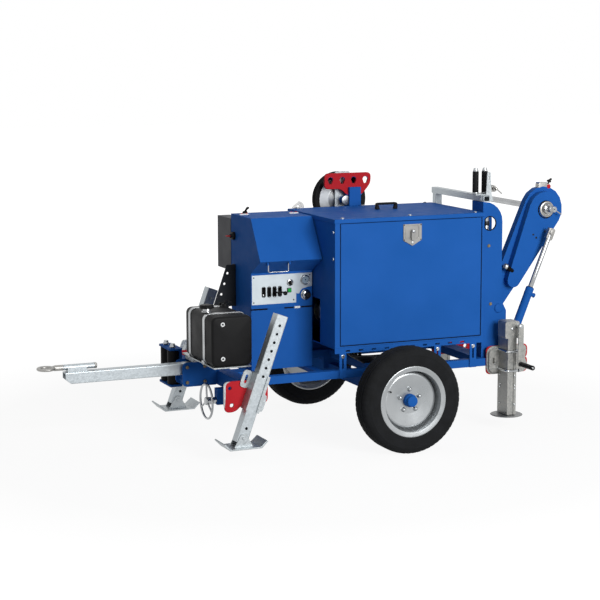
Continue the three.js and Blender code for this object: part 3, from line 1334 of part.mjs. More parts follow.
const carriage = () => {
  const half = beamDepth / 2;
  const wall = sheet * 2;
  const z0 = windFloor + carriageGap + sheet;
  const z1 = windFloor + beamHeight;
  const outer = half + wall + carriageGap;
  const collarOutline = [[beamLine - outer, z0], [beamLine - half - carriageGap, z0], [beamLine - half - carriageGap, z1 + carriageGap],
    [beamLine + half + carriageGap, z1 + carriageGap], [beamLine + half + carriageGap, z0], [beamLine + outer, z0],
    [beamLine + outer, z1 + carriageGap + wall], [beamLine - outer, z1 + carriageGap + wall]];
  const saddle = slab('xz', collarOutline, windNear, windNear + windWidth);
  const deckTop = windRollerFloor - clearance;
  const deck = block(beamLine + windRollerPlaces[0] - windRollerRadius * 1.4, beamLine + outer, windNear, windNear + windWidth,
    z1 + carriageGap + weld, z1 + carriageGap + wall);
  const postFloor = z1 + carriageGap + weld;
  const posts = windRollerPlaces.map((x) => join(bar('z', postFloor, windRollerTop + boltHead, beamLine + x, windNear + windWidth / 2, windPin, 8),
    bar('z', postFloor, deckTop, beamLine + x, windNear + windWidth / 2, windPin * 1.8, 8)));
  const plateNear = windNear - sheet * 2;
  const plateMiddle = beamLine + half;
  const top = windRollerTop;
  const plate = slab('xz', [[plateMiddle - outer * 1.2, z0], [plateMiddle + outer, z0], [plateMiddle + outer * 0.6, z0 + outer * 1.5],
    ...arc(plateMiddle, top - outer * 0.4, outer * 0.4, 0, 180, 5), [plateMiddle - outer * 0.6, z0 + outer * 1.5]].reverse(),
  plateNear, windNear + weld, [circle(plateMiddle, top - outer * 0.4, outer * 0.16, 8),
    rounded(plateMiddle - outer * 0.12, plateMiddle + outer * 0.12, top - outer * 1.6, top - outer * 0.9, outer * 0.1, 2)]);
  const passage = block(beamLine - half - carriageGap, beamLine + half + carriageGap, plateNear - overrun,
    windNear + overrun, z0 - overrun, z1 + carriageGap);
  return join(saddle, deck, ...posts, cut(plate, passage));
};

piece('wind_carriage', carriage(), 'galvanised');

windRollerPlaces.forEach((x, index) => {
  const profile = closed([[pinBore(windPin), windRollerFloor], [windRollerRadius, windRollerFloor],
    [windRollerRadius, windRollerTop], [pinBore(windPin), windRollerTop]]);
  piece(`wind_roller_${index + 1}`, turned('z', profile, beamLine + x, windNear + windWidth / 2, 12), 'rubber');
});

// Capstan side: a plate beside the hood with two planetary drives and two grooved bull wheels
const capstanNear = railReach + plateThickness - weld + clearance;
const capstanThickness = 12;
const capstanFront = -250;
const capstanRear = 400;
const capstanTop = 1000;
const wheelPlaces = [-110, 215];
const capstanHeight = 780;
const bullRadius = 150;
const bullWidth = 150;
const bullNear = 420;
const driveRadius = 62;
const driveReach = 372;
const spindle = 30;
const shelfDepth = 76;
const grooves = 5;
const grooveDrop = 14;

const plateInset = 90;
const plateShoulder = 200;
const plateCorner = 60;

const capstanPlate = () => {
  const face = capstanNear;
  const back = capstanNear + capstanThickness;
  const plate = slab('xz', [[capstanFront + plateInset, railFloor], [capstanRear - plateInset, railFloor],
    [capstanRear, railFloor + plateShoulder],
    ...arc(capstanRear - plateCorner, capstanTop - plateCorner, plateCorner, 0, 90, 4),
    ...arc(capstanFront + plateCorner, capstanTop - plateCorner, plateCorner, 90, 180, 4),
    [capstanFront, railFloor + plateShoulder]], face, back);
  const drives = wheelPlaces.map((x) => join(bar('y', back - weld, driveReach, x, capstanHeight, driveRadius, 16),
    bar('y', back - weld, bullNear + bullWidth * 0.8, x, capstanHeight, spindle, 12)));
  const shelf = block(mastFront, mastRear + shelfDepth / 2, back - weld, face + shelfDepth, capstanTop - capstanThickness, capstanTop);
  const ribs = [mastFront, mastRear - capstanThickness].map((x) => slab('yz', [[back - weld, capstanTop - weld],
    [back - weld, capstanTop - shelfDepth], [face + shelfDepth, capstanTop - capstanThickness], [face + shelfDepth, capstanTop - weld]],
  x, x + capstanThickness));
  return join(plate, ...drives, shelf, ...ribs);
};

const mastFront = 118;
const mastRear = 188;
const mastNear = 318;
const mastDepth = 70;
const mastRise = 103;
const mastTop = hoodTop + mastRise;
const liftNear = 340;
const liftThickness = 12;
const liftFront = -25;
const liftRear = 258;
const liftOverlap = 8;
const liftHeight = 87;
const liftFloor = mastTop - liftOverlap;
const liftTop = liftFloor + liftHeight;
const liftHoles = [10, 83, 153, 225];
const liftHoleRadius = 17;
const pulleyPlace = [103, 1220];
const pulleyRadius = 155;
const pulleyWidth = 56;
const pulleyNear = 404;
const pulleySpindle = 18;
const armPlateFront = 60;
const armPlateRear = 150;
const armPlateFloor = 1150;
const armPlateRise = 6;
const armPlateTop = liftTop + armPlateRise;

piece('capstan_plate', capstanPlate(), 'blue');

const gusset = 40;
const pinReach = 10;

const mast = () => {
  const floor = capstanTop + clearance;
  const post = block(mastFront, mastRear, mastNear, mastNear + mastDepth, floor, mastTop);
  const corner = (liftTop - liftFloor) / 2;
  const outline = [...arc(liftFront + corner * 0.8, liftFloor + corner * 0.8, corner * 0.8, 180, 270, 4),
    [mastFront - gusset, liftFloor], [mastFront - sheet, liftFloor - gusset], [mastRear + gusset / 3, liftFloor - gusset],
    [liftRear - corner * 0.4, liftFloor + corner * 0.4], ...arc(liftRear - corner * 0.8, liftTop - corner * 0.8, corner * 0.8, 0, 90, 4),
    ...arc(liftFront + corner * 0.8, liftTop - corner * 0.8, corner * 0.8, 90, 180, 4)];
  const middle = (liftFloor + liftTop) / 2;
  const holes = liftHoles.map((x) => strap([x, middle - liftHoleRadius * 0.4, liftHoleRadius * 0.7],
    [x, middle + liftHoleRadius * 0.3, liftHoleRadius], 6));
  const plate = slab('xz', outline, liftNear, liftNear + liftThickness, holes);
  const armNearFace = mastNear + mastDepth - weld;
  const armPlate = slab('xz', rounded(armPlateFront, armPlateRear, armPlateFloor, armPlateTop, collar), armNearFace,
    armNearFace + plateThickness, [circle((armPlateFront + armPlateRear) / 2, armPlateTop - collar * 1.6, collar * 0.7, 8)]);
  const pin = bar('y', liftNear - pinReach, pulleyNear + pulleyWidth + clearance + collar, pulleyPlace[0], pulleyPlace[1], pulleySpindle, 12);
  return join(post, plate, armPlate, pin);
};

piece('pulley_mast', mast(), 'blue');

const guidePulley = () => {
  const edge = pulleyRadius;
  const bore = pinBore(pulleySpindle);
  const y0 = pulleyNear;
  const y1 = pulleyNear + pulleyWidth;
  const middle = (y0 + y1) / 2;
  const webHalf = pulleyWidth * 0.12;
  const profile = [[bore, y0 + sheet], [pulleySpindle * 2, y0 + sheet], [edge * 0.45, middle - webHalf], [edge * 0.82, middle - webHalf],
    [edge * 0.86, y0], [edge, y0], [edge * 0.9, middle - webHalf], [edge * 0.9, middle + webHalf], [edge, y1], [edge * 0.86, y1],
    [edge * 0.82, middle + webHalf], [edge * 0.45, middle + webHalf], [pulleySpindle * 2, y1 - sheet], [bore, y1 - sheet]];
  return turned('y', closed(profile), pulleyPlace[0], pulleyPlace[1], 20);
};

piece('guide_pulley', guidePulley(), 'silver');

const bullWheel = (x) => {
  const bore = pinBore(spindle);
  const front = driveReach + clearance;
  const y1 = bullNear + bullWidth;
  const pitch = bullWidth / grooves;
  const outer = [];
  for (let index = 0; index < grooves; index += 1) {
    const start = bullNear + index * pitch;
    outer.push([bullRadius, start + pitch * 0.12], [bullRadius - grooveDrop, start + pitch * 0.5],
      [bullRadius, start + pitch * 0.88]);
  }
  const wall = bullRadius - grooveDrop - collar;
  const hubRim = spindle * 1.8;
  const profile = [[bore, front], [hubRim, front], [hubRim, bullNear + collar], [wall, bullNear + collar], [wall, bullNear],
    [bullRadius * 0.98, bullNear], ...outer, [bullRadius * 0.98, y1], [wall, y1], [wall, bullNear + collar * 2.5],
    [hubRim, bullNear + collar * 2.5], [hubRim, y1 - collar], [0, y1 - collar], [0, bullNear + bullWidth * 0.8 + clearance],
    [bore, bullNear + bullWidth * 0.8 + clearance], [bore, front]];
  return turned('y', profile, x, capstanHeight, 18);
};

wheelPlaces.forEach((x, index) => piece(`bull_wheel_${index + 1}`, bullWheel(x), 'steel'));

// The origin is set under the middle of the machine, on the ground
const bounds = new THREE.Box3().setFromObject(machine);
machine.position.set(-(bounds.min.x + bounds.max.x) / 2, -(bounds.min.y + bounds.max.y) / 2, -bounds.min.z);

export default machine;
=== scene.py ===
import json
import math

import bmesh
import bpy
import numpy as np
from mathutils import Matrix, Vector


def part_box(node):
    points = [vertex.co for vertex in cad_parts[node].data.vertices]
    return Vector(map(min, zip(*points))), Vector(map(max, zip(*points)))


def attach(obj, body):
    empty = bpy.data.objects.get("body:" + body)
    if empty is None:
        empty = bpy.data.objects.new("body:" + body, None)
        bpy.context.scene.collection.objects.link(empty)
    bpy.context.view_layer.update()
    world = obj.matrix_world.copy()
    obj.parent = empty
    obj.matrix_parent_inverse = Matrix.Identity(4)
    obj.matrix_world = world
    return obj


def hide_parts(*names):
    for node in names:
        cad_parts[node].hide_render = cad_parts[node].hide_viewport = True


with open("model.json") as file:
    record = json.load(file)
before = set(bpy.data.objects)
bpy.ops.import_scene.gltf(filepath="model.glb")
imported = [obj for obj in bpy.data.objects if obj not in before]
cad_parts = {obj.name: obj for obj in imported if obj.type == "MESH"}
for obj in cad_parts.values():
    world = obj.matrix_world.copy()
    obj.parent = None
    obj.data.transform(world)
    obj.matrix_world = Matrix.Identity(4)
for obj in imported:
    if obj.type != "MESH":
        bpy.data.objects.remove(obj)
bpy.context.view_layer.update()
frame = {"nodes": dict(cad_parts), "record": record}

# Camera and drawing frame. The machine is seen from its drawbar end and a little from above,
# with a long lens. Places below are written in millimetres from the wheel axle, the centreline
# and the ground, as on a workshop drawing, and at() turns them into metres in the CAD frame.
AXLE = sum(corner[0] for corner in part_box("tyre_near")) / 2


def at(x, y, z):
    """Drawing millimetres to frame metres: the axle's own X is added to x."""
    return np.stack(np.broadcast_arrays(np.asarray(x) / 1000 + AXLE, np.asarray(y) / 1000,
                                        np.asarray(z) / 1000), -1)


camera_degrees = (-23.17, 8.78, -0.11)
azimuth, elevation, roll = (math.radians(angle) for angle in camera_degrees)
back = Vector((math.sin(azimuth) * math.cos(elevation), -math.cos(azimuth) * math.cos(elevation),
               math.sin(elevation)))
right = Vector((math.cos(azimuth), math.sin(azimuth), 0))
up = back.cross(right)
sensor_width, frame_pixels, focal_pixels = 36, 600, 1734.3
camera_place = at(-3964.9, -8510.0, 2154.8)
farthest_metres = 100
lens = bpy.data.cameras.new("long_lens")
lens.sensor_width = sensor_width
lens.lens = focal_pixels / frame_pixels * sensor_width
lens.clip_end = farthest_metres
camera = bpy.data.objects.new("camera", lens)
rolled_right = right * math.cos(roll) + up * math.sin(roll)
rolled_up = up * math.cos(roll) - right * math.sin(roll)
turn = Matrix((rolled_right, rolled_up, back)).transposed().to_4x4()
camera.matrix_world = Matrix.Translation(Vector(camera_place)) @ turn
bpy.context.scene.collection.objects.link(camera)
bpy.context.scene.camera = camera
bpy.context.scene.view_settings.view_transform = "Standard"


# Studio: a white sweep of floor, a white sky, one large soft lamp to the right of the camera and
# two weak ones, above and behind, so that the machine's long side is bright and its end is in shade.
def linear(code):
    """sRGB hex text to linear red, green, blue and alpha."""
    parts = np.array([int(code[index:index + 2], 16) / 255 for index in (1, 3, 5)])
    curve = np.where(parts <= 0.04045, parts / 12.92, ((parts + 0.055) / 1.055) ** 2.4)
    return (*curve.tolist(), 1)


def add(tree, kind, sockets=None, **settings):
    """Adds one node, sets its options, and sets or links its input sockets."""
    node = tree.nodes.new(kind)
    for name, value in settings.items():
        setattr(node, name, value)
    for name, value in (sockets or {}).items():
        if isinstance(value, bpy.types.NodeSocket):
            tree.links.new(value, node.inputs[name])
        else:
            node.inputs[name].default_value = value
    return node


def seen_directly(tree):
    """One where a ray comes from the camera, a mirror or glass, and zero for light on the machine."""
    path = add(tree, "ShaderNodeLightPath")
    glossy = add(tree, "ShaderNodeMath", {0: path.outputs["Is Camera Ray"], 1: path.outputs["Is Glossy Ray"]},
                 operation="MAXIMUM")
    return add(tree, "ShaderNodeMath", {0: glossy.outputs[0], 1: path.outputs["Is Transmission Ray"]},
               operation="MAXIMUM").outputs[0]


white = linear("#ffffff")
world = bpy.data.worlds.new("studio_sky")
world.use_nodes = True
tree = world.node_tree
tree.nodes.clear()
sky_light = 0.2
shown = add(tree, "ShaderNodeMapRange", {"Value": seen_directly(tree), "To Min": sky_light, "To Max": 1.0})
sky = add(tree, "ShaderNodeBackground", {"Color": white, "Strength": shown.outputs[0]})
add(tree, "ShaderNodeOutputWorld", {"Surface": sky.outputs[0]})
bpy.context.scene.world = world

floor_half = 30
paper_grey = "#bcbcbc"
glow_strength = 1.14
glow_at_machine, glow_starts, glow_full_at = 0.8, 1.8, 4.5
floor_mesh = bpy.data.meshes.new("studio_floor")
floor_mesh.from_pydata([(-floor_half, -floor_half, 0), (floor_half, -floor_half, 0),
                        (floor_half, floor_half, 0), (-floor_half, floor_half, 0)],
                       [], [(0, 1, 2, 3)])
floor = bpy.data.objects.new("studio_floor", floor_mesh)
bpy.context.scene.collection.objects.link(floor)
sweep = bpy.data.materials.new("white_paper_sweep")
sweep.use_nodes = True
tree = sweep.node_tree
tree.nodes.clear()
paper = add(tree, "ShaderNodeBsdfDiffuse", {"Color": linear(paper_grey)})
glow = add(tree, "ShaderNodeEmission", {"Color": white, "Strength": glow_strength})
middle = add(tree, "ShaderNodeVectorMath", {0: add(tree, "ShaderNodeTexCoord").outputs["Object"]},
             operation="LENGTH")
glow_share = add(tree, "ShaderNodeMapRange",
                 {"Value": middle.outputs["Value"], "From Min": glow_starts, "From Max": glow_full_at,
                  "To Min": glow_at_machine, "To Max": 1.0})
shown = add(tree, "ShaderNodeMath", {0: seen_directly(tree), 1: glow_share.outputs[0]}, operation="MULTIPLY")
mixed = add(tree, "ShaderNodeMixShader", {0: shown.outputs[0], 1: paper.outputs[0], 2: glow.outputs[0]})
add(tree, "ShaderNodeOutputMaterial", {"Surface": mixed.outputs[0]})
floor.data.materials.append(sweep)

lamps_look_at = Vector((0, 0, 0.7))
for name, place, size, power in (("key_softbox", (1.4, -8.0, 3.2), 3.4, 560),
                                 ("top_softbox", (-0.6, 0.4, 5.4), 4.0, 20),
                                 ("rim_softbox", (-5.5, 2.0, 3.0), 2.5, 8)):
    lamp = bpy.data.lights.new(name, "AREA")
    lamp.shape = "SQUARE"
    lamp.size = size
    lamp.energy = power
    softbox = bpy.data.objects.new(name, lamp)
    softbox.location = place
    softbox.rotation_euler = (lamps_look_at - Vector(place)).to_track_quat("-Z", "Y").to_euler()
    bpy.context.scene.collection.objects.link(softbox)


# Chassis: rails, cross members, engine bed, drawbar bracket and front tube, welded from steel
# tube and plate and finished in a smooth blue two-coat enamel. The enamel gives the eye an even
# colour with a soft reflection and a faint orange-peel ripple.
def coordinates(tree):
    """Places on a piece in metres, the same in every pose."""
    return add(tree, "ShaderNodeTexCoord").outputs["Object"]


def finish(name):
    """A new material with an empty node tree and one main shader wired to its output."""
    material = bpy.data.materials.new(name)
    material.use_nodes = True
    tree = material.node_tree
    tree.nodes.clear()
    shader = add(tree, "ShaderNodeBsdfPrincipled")
    add(tree, "ShaderNodeOutputMaterial", {"Surface": shader.outputs[0]})
    return material, tree, shader


def noise(tree, size_mm, detail=3, roughness=0.5, scale=None):
    """Soft noise whose patches are about size_mm wide; scale stretches it along X, Y and Z."""
    vector = coordinates(tree)
    if scale:
        vector = add(tree, "ShaderNodeMapping", {"Vector": vector, "Scale": scale}).outputs[0]
    return add(tree, "ShaderNodeTexNoise", {"Vector": vector, "Scale": 1000 / size_mm, "Detail": detail,
                                            "Roughness": roughness}).outputs["Fac"]


def spread(tree, value, low, high, from_low=0.3, from_high=0.7):
    """Carries a pattern's usual range onto low..high."""
    return add(tree, "ShaderNodeMapRange", {"Value": value, "From Min": from_low, "From Max": from_high,
                                            "To Min": low, "To Max": high}).outputs[0]


def tinted(tree, value, dark, light):
    """Mixes two sRGB colours by a pattern."""
    first_colour, second_colour, mixed_colour = 6, 7, 2
    mix = add(tree, "ShaderNodeMix",
              {"Factor": value, first_colour: linear(dark), second_colour: linear(light)}, data_type="RGBA")
    return mix.outputs[mixed_colour]


def bumped(tree, shader, height, depth_mm, strength=1.0):
    """Raises the surface by depth_mm where the pattern is one."""
    bump = add(tree, "ShaderNodeBump", {"Height": height, "Distance": depth_mm / 1000, "Strength": strength})
    tree.links.new(bump.outputs[0], shader.inputs["Normal"])


def enamel(name, dark, light, rough=0.56):
    """Baked enamel on steel: slow shifts of tone, dust in the low gloss, and orange peel 3 mm wide."""
    material, tree, shader = finish(name)
    cloud_mm, dust_mm, peel_mm = 260, 70, 3
    cloud = spread(tree, noise(tree, cloud_mm, 4), 0, 1)
    tree.links.new(tinted(tree, cloud, dark, light), shader.inputs["Base Color"])
    tree.links.new(spread(tree, noise(tree, dust_mm, 5), rough - 0.05, rough + 0.07),
                   shader.inputs["Roughness"])
    shader.inputs["Specular IOR Level"].default_value = 0.06
    bumped(tree, shader, noise(tree, peel_mm, 2), 0.03, 0.35)
    return material


def metal(name, dark, light, rough, grain=(1, 1, 1), grain_mm=1.5, depth=0.02):
    """Bare or plated metal: tone and gloss shift slowly; a fine grain runs one way where it is stretched."""
    material, tree, shader = finish(name)
    shader.inputs["Metallic"].default_value = 1.0
    cloud_mm = 90
    cloud = spread(tree, noise(tree, cloud_mm, 4), 0, 1)
    tree.links.new(tinted(tree, cloud, dark, light), shader.inputs["Base Color"])
    tree.links.new(spread(tree, noise(tree, grain_mm, 2, scale=grain), rough * 0.8, rough * 1.25),
                   shader.inputs["Roughness"])
    bumped(tree, shader, noise(tree, grain_mm, 2, scale=grain), depth, 0.4)
    return material


def spangled(name, dark, light, rough=0.42):
    """Hot-dip galvanised steel: crystals of zinc 6 to 12 mm across, each with its own tone and gloss."""
    material, tree, shader = finish(name)
    shader.inputs["Metallic"].default_value = 0.75
    crystal_mm, ripple_mm, ragged_metres = 9, 14, 0.006
    warp = add(tree, "ShaderNodeTexNoise", {"Vector": coordinates(tree), "Scale": 90.0, "Detail": 2.0})
    bent = add(tree, "ShaderNodeVectorMath",
               {0: warp.outputs["Color"], 1: (ragged_metres,) * 3, 2: coordinates(tree)},
               operation="MULTIPLY_ADD")
    crystal = add(tree, "ShaderNodeTexVoronoi", {"Vector": bent.outputs[0], "Scale": 1000 / crystal_mm})
    tone = add(tree, "ShaderNodeSeparateColor", {0: crystal.outputs["Color"]}).outputs[0]
    tree.links.new(tinted(tree, tone, dark, light), shader.inputs["Base Color"])
    tree.links.new(spread(tree, tone, rough - 0.04, rough + 0.06, 0, 1), shader.inputs["Roughness"])
    bumped(tree, shader, noise(tree, ripple_mm, 3), 0.08, 0.35)
    return material


def placed(name, mesh, body, material, stands_for=()):
    """Puts a finished mesh on a CAD body with its material, and hides the CAD nodes that it stands for."""
    mesh.materials.clear()
    mesh.materials.append(material)
    piece = bpy.data.objects.new(name, mesh)
    bpy.context.scene.collection.objects.link(piece)
    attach(piece, body)
    if stands_for:
        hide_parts(*stands_for)
    return piece


def shaded(mesh, angle=32):
    """Smooth shading, with edges sharper than the angle left crisp."""
    mesh.polygons.foreach_set("use_smooth", np.ones(len(mesh.polygons), bool))
    mesh.set_sharp_from_angle(angle=math.radians(angle))
    mesh.update()
    return mesh


body_of_node = {node: body for body, nodes in frame["record"]["behaviour"]["bodies"].items()
                for node in nodes}
same_place, same_plane, crease = 2e-5, math.radians(1), math.radians(32)
seam_gap, speck = 1e-6, 1e-7


def dressed(node, material, edge_mm, segments=2):
    """The CAD node's own solid in whole faces, with its edges rolled over to edge_mm as real plate has."""
    mesh = frame["nodes"][node].data.copy()
    mesh.name = node + "_formed"
    shape = bmesh.new()
    shape.from_mesh(mesh)
    bmesh.ops.remove_doubles(shape, verts=shape.verts, dist=same_place)
    bmesh.ops.dissolve_limit(shape, angle_limit=same_plane, verts=shape.verts, edges=shape.edges)
    shape.to_mesh(mesh)
    shape.free()
    for name in [layer.name for layer in mesh.uv_layers]:
        mesh.uv_layers.remove(mesh.uv_layers[name])
    piece = placed(node + "_formed", shaded(mesh), body_of_node[node], material, [node])
    rolled = piece.modifiers.new("rolled_edges", "BEVEL")
    rolled.width = edge_mm / 1000
    rolled.segments = segments
    rolled.limit_method = "ANGLE"
    rolled.angle_limit = crease
    flat = piece.modifiers.new("flat_faces", "WEIGHTED_NORMAL")
    flat.mode = "FACE_AREA"
    flat.weight = 100
    flat.keep_sharp = True
    return piece


blue_enamel = enamel("blue_baked_enamel", "#1b58a6", "#205dae")
dressed("chassis_frame", blue_enamel, 1.6)


def merged(mesh):
    """Closes seams and poles, and turns all faces outwards."""
    shape = bmesh.new()
    shape.from_mesh(mesh)
    bmesh.ops.remove_doubles(shape, verts=shape.verts, dist=seam_gap)
    bmesh.ops.dissolve_degenerate(shape, edges=shape.edges, dist=speck)
    bmesh.ops.recalc_face_normals(shape, faces=shape.faces)
    shape.to_mesh(mesh)
    shape.free()
    return mesh


def grid_mesh(name, sheets, angle=32):
    """Each sheet is a grid of points (rows, columns, 3), closed round its columns and skinned with faces."""
    points, faces, start = [], [], 0
    for sheet in sheets:
        rows, columns = sheet.shape[:2]
        index = start + np.arange(rows * columns).reshape(rows, columns)
        after = np.roll(index, -1, axis=1)
        faces.append(np.stack([index[:-1], after[:-1], after[1:], index[1:]], -1).reshape(-1, 4))
        points.append(sheet.reshape(-1, 3))
        start += rows * columns
    mesh = bpy.data.meshes.new(name)
    mesh.from_pydata(np.concatenate(points).tolist(), [], np.concatenate(faces).tolist())
    return shaded(merged(mesh), angle)


def built(name, sheets, body, material, stands_for=(), angle=32):
    """A piece made of grids, placed on its body."""
    return placed(name, grid_mesh(name, sheets, angle), body, material, stands_for)


axes = {"x": (0, 1, 2), "y": (1, 2, 0), "z": (2, 0, 1)}


def turned(axis, centre, profile, steps=64):
    """A profile of (radius, place along the axis) in mm, swept round the axis through centre."""
    along, first, second = axes[axis]
    profile = np.asarray(profile, float)
    angle = np.linspace(0, 2 * math.pi, steps, endpoint=False)
    points = np.zeros((len(profile), steps, 3))
    points[..., along] = profile[:, 1, None]
    points[..., first] = profile[:, 0, None] * np.cos(angle)
    points[..., second] = profile[:, 0, None] * np.sin(angle)
    middle = np.array(centre, float)
    middle[along] = 0
    points += middle
    return at(points[..., 0], points[..., 1], points[..., 2])


def softened(profile, radius=1.0, steps=2):
    """Replaces each corner of an open profile by a short curve, radius mm long on either side of it."""
    profile = np.asarray(profile, float)
    out = [profile[0]]
    for before, corner, after in zip(profile, profile[1:], profile[2:]):
        arms = [(end - corner) * min(0.45, radius / max(np.linalg.norm(end - corner), 1e-6))
                for end in (before, after)]
        for share in np.linspace(0, 1, steps + 1):
            out.append(corner + arms[0] * (1 - share) ** 2 + arms[1] * share ** 2)
    out.append(profile[-1])
    return np.array(out)


def lathed(axis, centre, profile, ease=1.0, steps=64, ease_steps=2):
    """A profile swept round the axis, its corners eased over ease mm."""
    return turned(axis, centre, softened(profile, ease, ease_steps), steps)


def round_bar(axis, centre, start, end, radius, edge=1.0, steps=32):
    """A closed round bar with softened ends."""
    return lathed(axis, centre, [(0, start), (radius, start), (radius, end), (0, end)], edge, steps)


def hex_bolt(axis, centre, start, way, across, height):
    """A hexagon head with a round washer face and a chamfered top, standing out of its plate."""
    washer = turned(axis, centre,
                    [(0, start), (across * 0.62, start), (across * 0.62, start + way * height * 0.18),
                     (0, start + way * height * 0.18)], 24)
    head = turned(axis, centre,
                  [(0, start), (across * 0.55, start), (across * 0.55, start + way * height * 0.85),
                   (across * 0.46, start + way * height), (0, start + way * height)], 6)
    return [washer, head]


zinc_bolt = metal("zinc_plated_steel", "#9da0a2", "#b7babc", 0.24, grain_mm=4, depth=0.01)
# Blackened steel for screws, pipes and a collar; the same black also paints the shade inside the locking hole
# on the reel shaft's end.
black_steel_and_shade = metal("blackened_steel_and_painted_shade", "#1d1e20", "#2b2c2f", 0.42, grain_mm=4, depth=0.01)
bronze_bolt = metal("yellow_zinc_steel", "#6c624e", "#82765e", 0.34, grain_mm=4, depth=0.01)
hanger_places, hanger_bolt_height, hanger_faces = (-215, 347, 565), 462, ((-324, -1), (323, 1))
hanger_bolts = []
for x in hanger_places:
    for y, way in hanger_faces:
        hanger_bolts += hex_bolt("y", (x, 0, hanger_bolt_height), y, way, 17, 7)
built("hanger_bolts", hanger_bolts, "machine", zinc_bolt)
bracket_columns, bracket_rows, bracket_face = (-994, -896), (337, 418), 64.5
bracket_bolts = []
for x in bracket_columns:
    for z in bracket_rows:
        for way in (-1, 1):
            bracket_bolts += hex_bolt("y", (x, 0, z), way * bracket_face, way, 15, 7)
built("bracket_bolts", bracket_bolts, "machine", bronze_bolt)


# Hydraulic pipes under the hood: cold-bent steel tube with a black coating, clipped to the bed.
# They carry oil from the pump to the capstan drives and back to the cooler.
def path_frames(path):
    """Directions along a path, with two more square to them that turn as little as they can."""
    path = np.asarray(path, float)
    tangent = np.gradient(path, axis=0)
    tangent /= np.linalg.norm(tangent, axis=1)[:, None]
    side = np.cross(tangent[0], (0, 0, 1) if abs(tangent[0][2]) < 0.9 else (1, 0, 0))
    sides = []
    for direction in tangent:
        side = side - direction * (side @ direction)
        side /= np.linalg.norm(side)
        sides.append(side)
    sides = np.array(sides)
    return sides, np.cross(tangent, sides)


def pipe(path, radius, steps=16):
    """A circle carried along a path in mm, closed at both ends; the radius may change along it."""
    path = np.asarray(path, float)
    radius = np.broadcast_to(np.asarray(radius, float), len(path))
    first, second = path_frames(path)
    angle = np.linspace(0, 2 * math.pi, steps, endpoint=False)[None, :, None]
    ring = np.cos(angle) * first[:, None] + np.sin(angle) * second[:, None]
    rows = path[:, None] + ring * radius[:, None, None]
    caps = [np.repeat(path[end][None, None], steps, 1) for end in (0, -1)]
    rows = np.concatenate([caps[0], rows, caps[1]])
    return at(rows[..., 0], rows[..., 1], rows[..., 2])


def bent(points, radius, steps=8):
    """Rounds the corners of a straight-sided path as a tube bender does."""
    return softened(points, radius, steps)


pipe_radius, pipe_bend, pipe_count = 9, 60, 4
pipe_runs = []
for index in range(pipe_count):
    x, y, drop = -150 + 34 * index, -232 + 20 * index, 16 * index
    pipe_runs.append(bent([(x, y, 640), (x, y, 446 - drop), (-40 + 20 * index, y, 430 - drop),
                           (330, y, 430 - drop)], pipe_bend))
built("hydraulic_pipes", [pipe(run, pipe_radius) for run in pipe_runs], "machine", black_steel_and_shade)


# Road wheels: a radial van tyre in black rubber on a pressed and silver-sprayed steel rim, held by
# five bolts to a blue hub with a pressed grease cap.
def rubber(name, dark, light, rough=0.82, dust_mm=60, grain_mm=1.6):
    """Moulded rubber or plastic: slow shifts of tone where hands and dust have been, and a fine matt skin."""
    material, tree, shader = finish(name)
    tree.links.new(tinted(tree, spread(tree, noise(tree, dust_mm, 5), 0, 1), dark, light),
                   shader.inputs["Base Color"])
    tree.links.new(spread(tree, noise(tree, dust_mm, 4), rough - 0.1, rough + 0.06),
                   shader.inputs["Roughness"])
    shader.inputs["Specular IOR Level"].default_value = 0.08
    bumped(tree, shader, noise(tree, grain_mm, 3), 0.06, 0.6)
    return material


wheel_height, wheel_line, wheel_bolts, bolt_circle = 278, 657, 5, 58
wheel_centre = (0, 0, wheel_height)


def ring_places(x, z, radius, count, first=0.0):
    """Centres of bolts spread evenly round a circle on the side of the machine."""
    angles = [first + index * 2 * math.pi / count for index in range(count)]
    return [(x + radius * math.cos(angle), 0, z + radius * math.sin(angle)) for angle in angles]


tyre_rubber = rubber("moulded_tyre_rubber", "#18191a", "#232426")
rim_silver = enamel("silver_rim_lacquer", "#9b9fa1", "#a9acae", 0.3)
rim_silver.node_tree.nodes["Principled BSDF"].inputs["Metallic"].default_value = 0.7
tyre_side = [(186, -60), (184, -66), (190, -69), (206, -70.5), (222, -73), (240, -73), (243, -74), (246, -73),
             (258, -68), (268, -61), (273.5, -53), (276.5, -44)]
tread_edges = [(-34, -27), (-11, -4), (4, 11), (27, 34)]
tread = []
for start, end in tread_edges:
    tread += [(277.6, start - 1), (277.4, start), (272, start + 1.4), (272, end - 1.4), (277.4, end),
              (277.6, end + 1)]
tyre_shape = tyre_side + tread + [(radius, -along) for radius, along in reversed(tyre_side)]
tyre_shape = softened([(167, -58)] + tyre_shape + [(167, 58)], 1.2, 2)
tyre_shape = np.concatenate([tyre_shape, tyre_shape[:1]])
sipe_count, sipe_depth = 60, 0.0016
